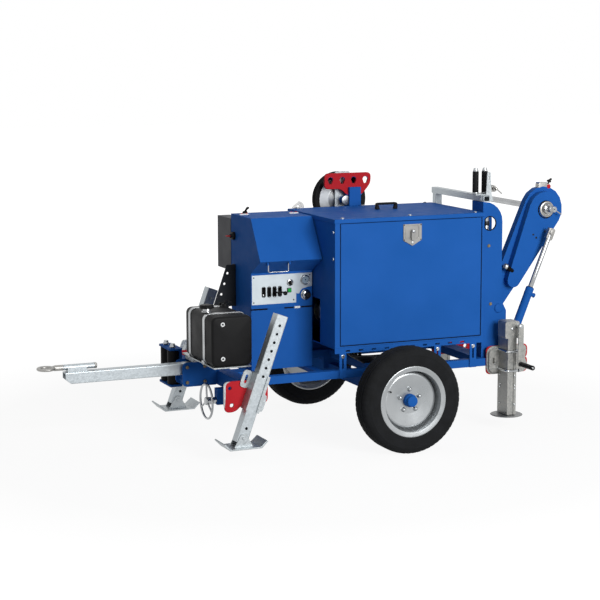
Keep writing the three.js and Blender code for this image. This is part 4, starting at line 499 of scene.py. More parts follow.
for place, way in (("near", -1), ("far", 1)):
    tyre = turned("y", wheel_centre, tyre_shape + (0, way * wheel_line), 240)
    middle = at(*wheel_centre)
    offset = tyre - middle
    radius = np.hypot(offset[..., 0], offset[..., 2])
    angle = np.arctan2(offset[..., 2], offset[..., 0])
    across = np.abs(tyre[..., 1] * 1000 - way * wheel_line)
    sipe = (np.cos(angle * sipe_count) > 0.93) & (across > 36) & (across < 66) & (radius > 0.262)
    scale = 1 - np.where(sipe, sipe_depth, 0) / radius
    for side in (0, 2):
        tyre[..., side] = middle[side] + offset[..., side] * scale
    built(f"tread_tyre_{place}", [tyre], f"wheel_{place}", tyre_rubber, [f"tyre_{place}"],
          angle=50)
    rim_shape = softened([(160, 66), (183, 70.5), (187, 68), (186.5, 62), (174, 58), (166, 48), (163, 26),
                          (160, 8), (160, -52), (184, -62), (186, -68), (181, -70), (158, -56), (155, -20),
                          (155, 2), (156, 26), (158, 50), (160, 66)], 2.5, 3)
    disc_shape = softened([(30, 18), (70, 19), (134, 27), (143, 25), (150, 14), (157, 4), (157, -1), (148, 6),
                           (140, 19), (132, 21), (70, 13), (30, 12), (30, 18)], 3, 3)
    wheel = [turned("y", wheel_centre, [(r, way * (wheel_line + a)) for r, a in shape], 128)
             for shape in (rim_shape, disc_shape)]
    built(f"pressed_rim_{place}", wheel, f"wheel_{place}", rim_silver, [f"wheel_rim_{place}"],
          angle=40)
    hub_shape = softened([(0, -44), (33, -44), (34, 20), (34, 38), (31, 42), (29, 45), (29, 58), (26, 62),
                          (0, 64)], 2, 3)
    hub = [turned("y", wheel_centre, [(r, way * (wheel_line + a)) for r, a in hub_shape], 64)]
    built(f"blue_hub_{place}", hub, f"wheel_{place}", blue_enamel)
    bolts = []
    for centre in ring_places(0, wheel_height, bolt_circle, wheel_bolts, math.pi / 2):
        bolts.append(lathed("y", centre,
                            [(0, way * 674), (13, way * 674), (11.5, way * 680), (9.5, way * 681),
                             (9, way * 689), (6, way * 692), (0, way * 692.5)], 1, 24))
    built(f"wheel_bolts_{place}", bolts, f"wheel_{place}", zinc_bolt)
    stem = pipe([(-112, way * 690, 330), (-118, way * 700, 335), (-124, way * 708, 338)], 4, 12)
    built(f"valve_stem_{place}", [stem], f"wheel_{place}", tyre_rubber)


# Engine and pump: a cast-iron engine in grey paint and a machined steel pump, seen only through
# the mouth of the hood.
cast_grey = rubber("sand_cast_grey_iron", "#4b4e50", "#5c5f61", 0.62, 40, 5)
dressed("engine_block", cast_grey, 6, 3)
machined_steel = metal("machined_steel", "#808386", "#939699", 0.3)
dressed("hydraulic_pump", machined_steel, 2)


# Hood: four walls of 3 mm sheet with rolled corners, a lid bolted over them, and a side door
# that hangs on its lower edge. All of it is enamelled; the seals are black sponge rubber.
dressed("hood_shell", blue_enamel, 2.5)
dressed("hood_lid", blue_enamel, 2.5)
dressed("side_door", blue_enamel, 2.2)


plane_axes = {"xz": (0, 2, 1), "yz": (1, 2, 0), "xy": (0, 1, 2)}


def plate(name, plane, outline, start, end, body, material, holes=(), edge=0.8, stands_for=()):
    """A flat outline in mm with holes, from start to end on the third axis, its rims rolled over by edge."""
    curve = bpy.data.curves.new(name, "CURVE")
    curve.dimensions = "2D"
    curve.fill_mode = "BOTH"
    for loop in (outline, *holes):
        spline = curve.splines.new("POLY")
        spline.points.add(len(loop) - 1)
        flat = np.ones((len(loop), 4))
        flat[:, :2] = np.asarray(loop) / 1000
        flat[:, 2] = 0
        spline.points.foreach_set("co", flat.ravel())
        spline.use_cyclic_u = True
    edge = min(edge, abs(end - start) * 0.45)
    curve.extrude = (abs(end - start) / 2 - edge) / 1000
    curve.bevel_depth = edge / 1000
    curve.bevel_resolution = 1
    curve.offset = -edge / 1000
    drawing = bpy.data.objects.new(name + "_drawing", curve)
    mesh = bpy.data.meshes.new_from_object(drawing)
    bpy.data.objects.remove(drawing)
    points = np.zeros(len(mesh.vertices) * 3)
    mesh.vertices.foreach_get("co", points)
    points = points.reshape(-1, 3)
    third = points[:, 2] + (start + end) / 2000
    moved = np.zeros_like(points)
    moved[:, plane_axes[plane]] = np.stack([points[:, 0], points[:, 1], third], -1)
    moved[:, 0] += AXLE
    mesh.vertices.foreach_set("co", moved.ravel())
    mesh.update()
    mesh.name = name
    return placed(name, shaded(merged(mesh), 18), body, material, stands_for)


def circle(u, v, radius, steps=32, start=0, sweep=360):
    """Points round a circle, or along an arc of sweep degrees."""
    angle = np.radians(np.linspace(start, start + sweep, steps, endpoint=sweep < 360))
    return np.stack([u + radius * np.cos(angle), v + radius * np.sin(angle)], -1)


def rounded(u0, u1, v0, v1, radius, steps=6):
    """A rectangle with rounded corners."""
    return np.concatenate([circle(u1 - radius, v0 + radius, radius, steps, -90, 90),
                           circle(u1 - radius, v1 - radius, radius, steps, 0, 90),
                           circle(u0 + radius, v1 - radius, radius, steps, 90, 90),
                           circle(u0 + radius, v0 + radius, radius, steps, 180, 90)])


# Black sponge rubber for the seals, bead, buffer, wiper and insert cores; the same black also paints shade in
# the cabinet's seam, in the lever pocket and round the reel arm's bearing.
black_rubber_and_shade = rubber("black_rubber_and_painted_shade", "#0b0b0c", "#151517", 0.9)
plate("door_seal", "xz", rounded(-233.5, 611.5, 515.5, 1169.5, 5), -324.6, -323, "machine", black_rubber_and_shade,
      [rounded(-229.4, 607.4, 519.6, 1165.4, 2)], 0.3)
lid_bolts = []
for x in (-212, 182, 576):
    for y in (-306, 285):
        lid_bolts += hex_bolt("z", (x, y, 0), 1190, 1, 17, 6.5)
built("lid_bolts", lid_bolts, "machine", zinc_bolt)
wall_bolts = [lathed("x", (0, -303, z), [(0, -262), (9, -262), (8, -265.5), (0, -267)], 1, 24)
              for z in (980, 1120)]
built("hood_wall_bolts", wall_bolts, "machine", zinc_bolt)
black_nylon = rubber("black_glass_filled_nylon", "#141415", "#1e1e20", 0.5, 80, 0.9)
dressed("lid_handle", black_nylon, 3.5, 3)
zinc_sheet = spangled("galvanised_sheet", "#9a9fa1", "#b0b5b7", 0.4)
latch_steel = metal("pressed_stainless_sheet", "#7b7b7a", "#8b8a87", 0.4, (1, 0.1, 1), 2, 0.01)
door_face = -328.8
latch_outline = [(133.4, 1061), (188, 1030.8), (242.6, 1061), (242.6, 1147.6), (133.4, 1147.6)]
plate("latch_plate", "xz", latch_outline, -329.6, -326.6, "side_door", latch_steel,
      [rounded(148, 222, 1075, 1137, 5)], 1.4)
plate("latch_pan", "xz", rounded(146, 224, 1073, 1139, 5), -328, -326.8, "side_door", latch_steel,
      [circle(188, 1104, 9.6)], 0.3)
plate("latch_bead", "xz", rounded(142, 228, 1069, 1143, 9), -330.6, -329.2, "side_door", latch_steel,
      [rounded(144.6, 225.4, 1071.6, 1140.4, 7)], 0.6)
latch_screws = [lathed("y", (x, 0, z), [(0, door_face), (3.6, door_face), (3.2, -330.6), (0, -331.2)], 0.6,
                       20)
                for x, z in ((138.6, 1142.4), (237, 1142.4), (138.6, 1064), (237, 1064))]
built("latch_screws", latch_screws, "side_door", black_steel_and_shade)
lock_barrel = [lathed("y", (188, 0, 1048),
                      [(0, door_face), (8, door_face), (8, -331), (6, -332.4), (0, -332.8)], 0.8, 32)]
built("lock_barrel", lock_barrel, "side_door", zinc_bolt)
dressed("door_latch", latch_steel, 3, 3)
latch_ball = [lathed("y", (188, 0, 1110), [(0, -336), (9.4, -338), (9.4, -342), (6, -345.6), (0, -346.6)],
                     2.5, 32, 3)]
built("latch_thumb_knob", latch_ball, "door_latch", zinc_bolt)


# Control cabinet: a folded sheet column with a sloping cover hinged on its top edge, a chrome bail
# to lift it by, and above the lower door a seam whose shadow is painted in black rubber strips.
dressed("control_cabinet", blue_enamel, 2.2)
dressed("sloping_cover", blue_enamel, 2.2)
chrome = metal("bright_chrome_plate", "#949698", "#adafb1", 0.14, grain_mm=30, depth=0.004)
bail_line, bail_pivot, bail_floor = -153, 952, 908
bail_corners = [(-577, bail_pivot), (-567.5, bail_pivot), (-567.5, bail_floor), (-453.5, bail_floor),
                (-453.5, bail_pivot), (-444, bail_pivot)]
bail_path = bent([(x, bail_line, z) for x, z in bail_corners], 9)
built("chrome_bail", [pipe(bail_path, 3.1, 20)], "cover_handle", chrome, ["cover_handle"])
seam_heights = (690.2, 697.8)
# Painted shadow: black rubber strips stand in the seam where the gap lies in shade.
seam_shadow_parts = [("painted_seam_shadow_left", -620.3, -527), ("painted_seam_shadow_middle", -428, -376),
              ("painted_seam_shadow_right", -330, -266.3)]
for name, x0, x1 in seam_shadow_parts:
    plate(name, "xz", rounded(x0 + 0.5, x1 - 0.5, *seam_heights, 1.5), -35.6, -27, "machine", black_rubber_and_shade,
          edge=0.5)
for name, x0, x1 in (("seam_rail_left", -526, -429), ("seam_rail_right", -337, -331)):
    plate(name, "xz", rounded(x0, x1, *seam_heights, 1), -35.9, -27, "machine", blue_enamel, edge=0.5)
white_plastic = rubber("white_moulded_plastic", "#dfe1e2", "#eceeef", 0.42, 80, 0.9)
plate("seam_tag", "xz", rounded(-371, -338, 688.5, 700, 2), -39, -27, "machine", white_plastic, edge=1)

# Control plate: brushed stainless sheet, 2 mm thick, held by four screws over a pocket whose shade
# is painted with black rubber sheets, with four gated slots for the levers of the hydraulic valves.
brushed_steel = metal("brushed_stainless_sheet", "#b1babf", "#bdc6cb", 0.36, (0.05, 1, 1), 1.2, 0.01)
brushed_steel.node_tree.nodes["Principled BSDF"].inputs["Metallic"].default_value = 0.55
dressed("control_panel", brushed_steel, 0.7, 1)
pocket_x, pocket_y, pocket_z = (-562.6, -442.4), (-35, 9.5), (755.4, 816.6)
# Painted shade: black sheets line the pocket's walls where the recess lies in shadow.
for name, plane, outline, start, end in (
        ("painted_pocket_shade_back", "xz", rounded(*pocket_x, *pocket_z, 1), 8.2, 9.8),
        ("painted_pocket_shade_floor", "xy", rounded(*pocket_x, *pocket_y, 1), 755.3, 756.5),
        ("painted_pocket_shade_roof", "xy", rounded(*pocket_x, *pocket_y, 1), 815.5, 816.7),
        ("painted_pocket_shade_left", "yz", rounded(*pocket_y, *pocket_z, 1), -562.7, -561.5),
        ("painted_pocket_shade_right", "yz", rounded(*pocket_y, *pocket_z, 1), -443.5, -442.3)):
    plate(name, plane, outline, start, end, "machine", black_rubber_and_shade, edge=0.3)
# Painted shade: a black sheet behind the first two gates, where they look into shadow.
plate("painted_gate_shade", "xz", rounded(-562, -504, 757, 815, 3), -31, -29.4, "machine", black_rubber_and_shade, edge=0.3)
gate_places, lever_height, gate_radius, gate_half = (-549, -518, -487, -456), 786, 12, 18
for index, x in enumerate(gate_places, 1):
    gate = np.concatenate([circle(x, lever_height + gate_half, gate_radius, 12, -10, 200),
                           circle(x, lever_height - gate_half, gate_radius, 12, 170, 200)])
    hole = (x, lever_height) + (gate - (x, lever_height)) * (0.5, 0.93)
    plate(f"lever_gate_{index}", "xz", gate, -39.4, -38.2, "machine", black_nylon, [hole], 0.4)
panel_screws = [lathed("y", (x, 0, z),
                       [(0, -38), (4, -38), (3.6, -40), (1.4, -40.6), (1.2, -39.6), (0, -39.6)], 0.4, 20)
                for x, z in ((-606, 866), (-606, 732), (-376, 736), (-282, 866))]
built("panel_screws", panel_screws, "machine", black_steel_and_shade)

# Levers of the valves: black steel stems with black ball knobs. The first gate has only a short
# spool end showing.
ball_radius, ball_line = 11.5, -114
for index, x in enumerate(gate_places[2:], 1):
    shape = softened([(0, -16), (4, -16), (4, -82), (5.5, -88), (5.5, -96), (0, -96)], 1, 2)
    ball = [(ball_radius * math.sin(angle), ball_line - ball_radius * math.cos(angle))
            for angle in np.linspace(0, math.pi, 17)]
    hub = round_bar("x", (0, -20, lever_height), x - 7, x + 7, 8.8, 1, 32)
    stem = turned("y", (x, 0, lever_height), shape, 24)
    built(f"ball_lever_{index}", [stem, turned("y", (x, 0, lever_height), ball, 32), hub],
          f"control_lever_{index}", black_nylon, [f"control_lever_{index}"])
spool = [round_bar("y", (gate_places[0], 0, 769), -37, 6, 4.6, 1.5, 24)]
built("spool_end", spool, "machine", chrome)

# Pressure gauge: a chrome case with a pale dial, fine scale marks and a black needle.
gauge_x, gauge_z, dial_sweep, dial_marks = -310, 841, 270, 11
gauge = [lathed("y", (gauge_x, 0, gauge_z),
                [(0, -36.5), (27, -36.5), (27, -38.5), (25.5, -39.5), (25.5, -49), (24, -51), (21, -51),
                 (20.6, -46), (0, -46)], 0.8, 64)]
built("gauge_case", gauge, "machine", chrome)
dial_paint = rubber("printed_dial_enamel", "#8295a4", "#91a2b0", 0.5, 60, 3)
plate("gauge_dial", "xz", circle(gauge_x, gauge_z, 20.4, 48), -46.6, -45.8, "machine", dial_paint,
      [circle(gauge_x, gauge_z, 3.4)], 0.1)
for index in range(dial_marks):
    tilt = math.radians(225 - dial_sweep / (dial_marks - 1) * index)
    along = np.array([math.cos(tilt), math.sin(tilt)])
    across = np.array([-along[1], along[0]]) * 0.55
    ends = [(gauge_x, gauge_z) + along * reach + across * side
            for reach, side in ((15, -1), (19, -1), (19, 1), (15, 1))]
    plate(f"dial_mark_{index + 1}", "xz", ends, -46.9, -46.5, "machine", black_nylon, edge=0.05)

# Key switch, start button and valve knob: chrome-plated bezels with a flat key, a green moulded
# cap and a black knob on a stepped chrome collar.
key_centre, knob_centre = (-397, 0, 830), (-306, 0, 760)
rose = lathed("y", key_centre,
              [(11.2, -38.4), (19, -38.4), (18, -42), (13, -43.4), (11.2, -43.4), (11.2, -38.4)], 0.8, 48)
built("key_rose", [rose], "machine", chrome)
collar_shape = softened([(0, -43.6), (12.6, -43.6), (12.6, -47), (9, -49), (8.5, -54), (0, -54)], 0.8, 2)
built("key_barrel", [turned("y", key_centre, collar_shape, 48)], "key_switch", black_nylon)
plate("flat_key", "yz", rounded(-72, -52, 818, 842, 6), -398.2, -395.8, "key_switch", chrome,
      [circle(-66, 830, 3)], 0.5)
frame["nodes"]["key_switch"].material_slots[0].material = chrome
green_plastic = rubber("green_moulded_acrylic", "#1c8f38", "#27a546", 0.3, 60, 3)
dressed("start_button", green_plastic, 1.4, 3)
plate("button_bezel", "xz", rounded(-414.5, -389.5, 776.5, 801.5, 3), -41, -38.1, "machine", black_nylon,
      [rounded(-412.6, -391.4, 778.4, 799.6, 2.2)], 0.6)
collar = lathed("y", knob_centre,
                [(0, -36.4), (29, -36.4), (29, -40), (22, -43), (20, -50), (14, -51), (13, -56), (0, -56)], 1,
                64)
built("knob_collar", [collar], "valve_knob", chrome, ["valve_knob"])
knob_shape = softened([(0, -55), (11, -55), (15.5, -60), (16, -76), (13, -80), (0, -80.5)], 1.5, 3)
knob_steps, knob_grooves, groove_share = 72, 12, 0.045
knob = turned("y", knob_centre, knob_shape, knob_steps)
in_groove = np.cos(np.linspace(0, 2 * math.pi, knob_steps, endpoint=False) * knob_grooves) > 0.55
ripple = 1 - groove_share * in_groove * (knob_shape[:, :1] > 14)
knob_axis = at(*knob_centre)
for side in (0, 2):
    knob[..., side] = knob_axis[side] + (knob[..., side] - knob_axis[side]) * ripple
built("knob_grip", [knob], "valve_knob", black_nylon, angle=45)

# Battery isolator: a black moulded body with a removable red key, on the end wall.
isolator_place = (207, 1067)
body_shape = softened([(0, -620.6), (22, -620.6), (22, -632), (19, -635), (12, -637), (11, -648), (0, -649)],
                      1.2, 3)
built("isolator_body", [turned("x", (0, *isolator_place), body_shape, 48)], "battery_isolator", black_nylon,
      ["battery_isolator"])
red_plastic = rubber("red_moulded_nylon", "#b02226", "#c62a2e", 0.42, 60, 1)
plate("isolator_key", "xy", rounded(-668, -646, 194, 220, 4), 1064, 1070, "battery_isolator", red_plastic,
      edge=1.5)

# Clamp lever on the roof: a die-cast hub with a tapered black grip that rises to one side.
grip_path = [(-560, 200 - 53 * t, 1192 + 28.4 * t + 30 * t * (1 - t)) for t in np.linspace(0, 1, 14)]
grip_radius = np.interp(np.linspace(0, 1, 14), [0, 0.25, 0.8, 1], [7.5, 5.2, 7, 4.5])
hub = lathed("z", (-560, 200, 0), [(0, 1183.6), (15, 1183.6), (14, 1194), (10, 1199), (0, 1200)], 1.5, 40, 3)
built("clamp_grip", [pipe(grip_path, grip_radius, 24), hub], "clamp_lever", black_nylon, ["clamp_lever"])
for index, (x, y) in enumerate(((-585, 150), (-312, 112)), 1):
    plate(f"roof_rest_{index}", "xy", rounded(x - 26, x + 26, y - 7, y + 7, 3), 1183, 1190, "machine",
          white_plastic, edge=1.5)
    ends = [round_bar("x", (0, y, 1190.5), x + start, x + start + 8, 3.6, 1) for start in (-18, 10)]
    built(f"rest_pads_{index}", ends, "machine", red_plastic)

# Oil cooler and guard beam: an aluminium core in a grey painted frame behind the cabinet, and a
# dark folded beam with three round holes that shields the pipes in front of it.
grey_enamel = enamel("grey_baked_enamel", "#5b5c60", "#66676b", 0.5)
dressed("oil_cooler", grey_enamel, 2)
dark_enamel = enamel("dark_grey_enamel", "#1f2226", "#2a2d31", 0.45)
dressed("guard_beam", dark_enamel, 1.5)
flange_bolts = []
for z in (705, 770, 835):
    flange_bolts += hex_bolt("x", (0, 214, z), -626.6, -1, 12, 5)
built("beam_bolts", flange_bolts, "machine", zinc_bolt)


# Fuel tank: a blow-moulded black polyethylene box with a bright filler neck, held on a galvanised
# shelf by two stainless straps. Two recessed inserts on its near end have white rings.
def loft(plane, rows):
    """A closed skin through outlines in mm of as many points each, placed along the third axis."""
    order = plane_axes[plane]
    middles = [(np.repeat(np.mean(outline, 0)[None], len(outline), 0), third)
               for outline, third in (rows[0], rows[-1])]
    rows = [middles[0], *rows, middles[1]]
    points = np.zeros((len(rows), len(rows[0][0]), 3))
    for points_row, (outline, third) in zip(points, rows):
        points_row[:, order[0]] = outline[:, 0]
        points_row[:, order[1]] = outline[:, 1]
        points_row[:, order[2]] = third
    return at(points[..., 0], points[..., 1], points[..., 2])


def soft_box(plane, u, v, third, corner, edge, steps=8):
    """A box with rounded corners round the third axis, and its two end faces rolled over by edge mm."""
    rows = []
    for way, end in ((1, third[0]), (-1, third[1])):
        arcs = [(edge * (1 - math.sin(angle)), end + way * edge * (1 - math.cos(angle)))
                for angle in np.linspace(0, math.pi / 2, 5)]
        for inset, place in (arcs if way == 1 else arcs[::-1]):
            rows.append((rounded(u[0] + inset, u[1] - inset, v[0] + inset, v[1] - inset,
                                 max(corner - inset, 0.5), steps), place))
    return loft(plane, rows)


tank_plastic = rubber("blow_moulded_polyethylene", "#161617", "#1e1e1f", 0.5, 120, 1.4)
tank_length, tank_height, tank_width, strap_lines = (-985, -766), (477, 735), (-420, -20), (-302, -88)
tank_body = soft_box("xz", tank_length, tank_height, tank_width, 30, 14)
built("moulded_tank", [tank_body], "machine", tank_plastic, ["fuel_tank"], angle=40)
filler = (-943, -229, 0)
neck = [lathed("z", filler, [(0, 734), (27, 734), (26, 737.5), (19.5, 738.5), (19.5, 752.8), (0, 752.8)], 0.8,
               48)]
built("filler_neck", neck, "machine", chrome)


def ribbed(sheet, middle, first, second, count, depth, floor):
    """Presses count shallow flutes, depth mm deep, into a turned sheet wherever it is wider than floor mm."""
    offset = sheet[..., [first, second]] - np.array(middle)
    radius = np.linalg.norm(offset, axis=-1, keepdims=True)
    angle = np.arctan2(offset[..., 1], offset[..., 0])[..., None]
    press = np.where(radius > floor / 1000, (0.5 - 0.5 * np.cos(angle * count)) * depth / 1000, 0)
    sheet[..., [first, second]] = np.array(middle) + offset * (1 - press / np.maximum(radius, 1e-6))
    return sheet


cap_shape = softened([(0, 753.4), (36, 753.4), (38, 756), (38, 765), (34, 771), (26, 773), (0, 773)], 2, 3)
cap_middle, cap_flutes, flute_depth = at(*filler)[:2], 16, 1.6
fluted_cap = ribbed(turned("z", filler, cap_shape, 192), cap_middle, 0, 1, cap_flutes, flute_depth, 35)
built("fluted_cap", [fluted_cap], "tank_cap", black_nylon, ["tank_cap"], angle=50)
dressed("tank_cradle", zinc_sheet, 0.8)
strap_half = 14.3
strap_steel = metal("stainless_strap", "#9c9ea0", "#b3b5b6", 0.3, (1, 0.06, 1), 1.5, 0.01)
for index, y in enumerate(strap_lines, 1):
    plate(f"tank_strap_{index}", "xz", rounded(-988.2, -762.8, 473.8, 738.2, 33.2, 12), y - strap_half,
          y + strap_half, "machine", strap_steel, [rounded(-985.3, -765.7, 476.7, 735.3, 30.3, 12)], 0.6)
    screw = round_bar("x", (0, y, 486), -999, -977, 4, 1)
    clip = soft_box("xz", (-996, -976), (476, 497), (y - 11, y + 11), 4, 1.5, 4)
    built(f"strap_clip_{index}", [screw, clip], "machine", zinc_bolt)
insert_x, insert_heights = -927, (696, 519)
for index, z in enumerate(insert_heights, 1):
    ring = lathed("y", (insert_x, 0, z),
                  [(5, -419.6), (11.5, -419.6), (11.5, -422), (9, -423), (6.5, -423), (5, -421.5),
                   (5, -419.6)], 0.5, 40)
    built(f"insert_ring_{index}", [ring], "machine", white_plastic)
    core = round_bar("y", (insert_x, 0, z), -421.4, -418, 5.2, 0.5, 32)
    built(f"insert_core_{index}", [core], "machine", black_rubber_and_shade)
sender = [lathed("z", (-800, -110, 0), [(0, 734), (24, 734), (24, 740), (16, 742), (15, 752), (0, 753)], 1,
                 40),
          pipe(bent([(-800, -110, 748), (-800, -110, 764), (-776, -100, 764), (-756, -92, 752)], 12), 5, 16),
          round_bar("z", (-800, -64, 0), 734, 752, 11, 2)]
built("level_sender", sender, "machine", black_nylon)


# Drawbar: a hot-dip galvanised square tube between the bracket plates, with a forged towing eye
# that swivels in a welded housing at its tip.
zinc_tube = spangled("galvanised_tube", "#a8afb3", "#b3babe", 0.38)
dressed("drawbar_tube", zinc_tube, 1.6)
forged_zinc = metal("galvanised_forging", "#93928f", "#a7a6a3", 0.4, grain_mm=9, depth=0.05)
eye_x, eye_height, eye_radius = -1735, 457, 38
eye_section = [(eye_radius + 10.4 * math.cos(angle), eye_height + 8.4 * math.sin(angle))
               for angle in np.linspace(0, 2 * math.pi, 25)]
shank_shape = softened([(0, -1700), (11, -1700), (14, -1694), (15, -1688), (15, -1646.8), (10, -1646.6),
                        (10, -1467), (0, -1467)], 1.5, 3)
eye_parts = [turned("z", (eye_x, 0, 0), eye_section, 96), turned("x", (0, 0, eye_height), shank_shape, 40),
             lathed("x", (0, 0, eye_height),
                    [(0, -1480.6), (16.5, -1480.6), (16.5, -1470), (13, -1467), (0, -1467)], 1, 6),
             soft_box("xy", (-1700, -1676), (-11, 11), (450, 464), 5, 3, 5)]
built("forged_eye", eye_parts, "towing_eye", forged_zinc, ["towing_eye"])

# Handwheel of the coupling screw: a bright round rim on three spokes.
hand_y, hand_z, hand_radius, hand_rim = -150, 249, 92, 6
rim_section = [(hand_radius + hand_rim * math.cos(angle), -920 + hand_rim * math.sin(angle))
               for angle in np.linspace(0, 2 * math.pi, 21)]
wheel_parts = [turned("x", (0, hand_y, hand_z), rim_section, 128)]
for angle in np.radians((90, 210, 330)):
    tip = (-920, hand_y + hand_radius * math.cos(angle), hand_z + hand_radius * math.sin(angle))
    wheel_parts.append(pipe([(-916, hand_y, hand_z),
                             (-919, hand_y * 0.6 + tip[1] * 0.4, hand_z * 0.6 + tip[2] * 0.4), tip], 4.9, 16))
corner_of_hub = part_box("handwheel")[1][0] * 1000 - AXLE * 1000
wheel_parts.append(lathed("x", (0, hand_y, hand_z),
                          [(0, -927), (20, -927), (22, -918), (20, -905), (16, corner_of_hub - 24),
                           (10, corner_of_hub - 23), (10, corner_of_hub - 1), (0, corner_of_hub)], 2, 40, 3))
built("handwheel_ring", wheel_parts, "handwheel", chrome, ["handwheel"], angle=40)

# Front fairlead: two upright rollers in black polyurethane with zinc-plated caps and pins.
roller_rubber = rubber("black_polyurethane", "#121213", "#1c1c1e", 0.55, 70, 1)
fairlead_x, fairlead_lines = -1000, (150, 258)
for index, y in enumerate(fairlead_lines, 1):
    skin = lathed("z", (fairlead_x, y, 0),
                  [(12, 292.4), (28, 292.4), (30, 295), (30, 475), (28, 477.6), (12, 477.6), (12, 292.4)], 2,
                  56, 3)
    built(f"roller_skin_{index}", [skin], f"front_roller_{index}", roller_rubber, [f"front_roller_{index}"])
    caps = [lathed("z", (fairlead_x, y, 0), [(0, 478), (19, 478), (18, 486), (12, 490), (0, 490)], 1.5, 40),
            lathed("z", (fairlead_x, y, 0), [(0, 292), (19, 292), (18, 284), (12, 281), (0, 281)], 1.5, 40),
            lathed("z", (fairlead_x, y, 0),
                   [(0, 492), (17, 492), (17, 498), (13, 501), (13, 509), (10, 512), (0, 512.6)], 1.5, 40),
            lathed("z", (fairlead_x, y, 0), [(0, 279.5), (17, 279.5), (17, 274), (13, 270), (0, 269)], 1.5,
                   40)]
    built(f"roller_caps_{index}", caps, "machine", zinc_bolt)


# Front legs: galvanised square tubes drilled for a locking pin, in open sleeves on red anchor
# plates. Each foot is a bent plate hinged on a cross pin.
zinc_casting = spangled("galvanised_sleeve", "#a0a6a9", "#b1b7ba", 0.4)
for node, material, edge_mm in (("front_leg", zinc_tube, 1.1), ("leg_sleeve", zinc_casting, 1.2),
                                ("front_foot", zinc_casting, 1.2)):
    for place in ("near", "far"):
        dressed(f"{node}_{place}", material, edge_mm)
red_enamel = enamel("red_baked_enamel", "#b3202a", "#bd2830")


def rounded_path(corners, radius, steps=8):
    """A closed flat outline whose corners are eased over radius mm."""
    corners = np.asarray(corners, float)
    ends = np.stack([np.roll(corners, 1, 0), corners, np.roll(corners, -1, 0)], 1)
    out = []
    for before, corner, after in ends:
        arms = [(end - corner) * min(0.48, radius / np.linalg.norm(end - corner)) for end in (before, after)]
        out += [corner + arms[0] * (1 - share) ** 2 + arms[1] * share ** 2
                for share in np.linspace(0, 1, steps)]
    return np.array(out)


anchor_outer, anchor_inner = 469, 457
anchor_corners = [(-941.5, 250.5), (-880, 250.5), (-848, 283), (-702.5, 283), (-702.5, 409.5), (-934, 409.5),
                  (-932, 330)]
for place, way in (("near", -1), ("far", 1)):
    plate(f"anchor_plate_{place}", "xz", rounded_path(anchor_corners, 34), way * anchor_outer,
          way * anchor_inner, "machine", red_enamel,
          [circle(-899.2, 286.7, 10.8), circle(-909.7, 375.4, 9.6)], 1.2)


# Rear jacks: folded galvanised channel round a screw leg, clamped by two U-bolts to a bracket on a
# red anchor plate. A flat steel crank with a black grip winds the leg down.
zinc_channel = spangled("galvanised_channel", "#8b8d8b", "#a09f9b", 0.42)
for place in ("near", "far"):
    dressed(f"jack_tube_{place}", zinc_channel, 1.2)
dark_zinc = spangled("weathered_zinc", "#77787a", "#939493", 0.44)
jack_outer, crank_x, crank_height, grip_height = 434.6, 778, 576, 371
jack_corners = [(647.6, 295.5), (720, 295.5), (748, 300), (790, 295.5), (906.4, 295.5), (906.4, 372),
                (893, 378), (906.4, 386), (906.4, 452.5), (647.6, 452.5)]
for place, way in (("near", -1), ("far", 1)):
    dressed(f"jack_leg_{place}", dark_zinc, 1.4)
    plate(f"jack_anchor_{place}", "xz", rounded_path(jack_corners, 30), way * 323.6, way * 315.8, "machine",
          red_enamel, [circle(870, 412, 11.4), circle(866, 336, 11.4)], 1.2)
    clamps = []
    for z in (330, 436):
        arc = bent([(x, way * y, z) for x, y in ((712, 326), (712, 441.2), (784, 441.2), (784, 326))], 13)
        clamps.append(pipe(arc, 6.3, 20))
        clamps += hex_bolt("x", (0, way * 441.2, z), 784, 1, 15, 8)
    built(f"u_bolts_{place}", clamps, "machine", zinc_bolt)
    rivets = []
    for z in (140, 230, 246, 300):
        rivets.append(lathed("x", (0, way * 352, z), [(0, 719), (6, 719), (5, 716), (0, 715.4)], 1, 20))
        rivets.append(lathed("y", (764, 0, z),
                             [(0, way * jack_outer), (6, way * jack_outer), (5, way * 437.4), (0, way * 438)],
                             1, 20))
    rivets.append(lathed("y", (746, 0, 560),
                         [(0, way * jack_outer), (9, way * jack_outer), (8, way * 437.4), (0, way * 439)], 1,
                         24))
    built(f"jack_rivets_{place}", rivets, "machine", zinc_bolt)
    arm_outline = np.concatenate([circle(crank_x, crank_height, 16.2, 24, 0, 180),
                                  circle(crank_x, grip_height, 16.2, 24, 180, 180)])
    plate(f"crank_arm_{place}", "xz", arm_outline, way * 473.2, way * 464.8, f"jack_crank_{place}",
          zinc_channel, edge=1.2, stands_for=[f"jack_crank_{place}"])
    shaft = [lathed("y", (crank_x, 0, crank_height),
                    [(0, way * 403), (9, way * 403), (9, way * 435.6), (13.4, way * 435.6), (13.4, way * 465),
                     (11, way * 466), (11, way * 476), (0, way * 477)], 0.8, 32)]
    built(f"crank_shaft_{place}", shaft, f"jack_crank_{place}", zinc_bolt)
    grip = [lathed("y", (crank_x, 0, grip_height),
                   [(0, way * 473.4), (13, way * 473.4), (12.6, way * 500), (13.2, way * 540),
                    (12.6, way * 580), (13, way * 602), (0, way * 602)], 1.5, 40, 3)]
    built(f"crank_grip_{place}", grip, f"jack_crank_{place}", black_nylon)
    pin_end = [round_bar("y", (crank_x, 0, grip_height), way * 600, way * 603.4, 5.4, 0.8, 24)]
    built(f"grip_pin_{place}", pin_end, f"jack_crank_{place}", zinc_bolt)


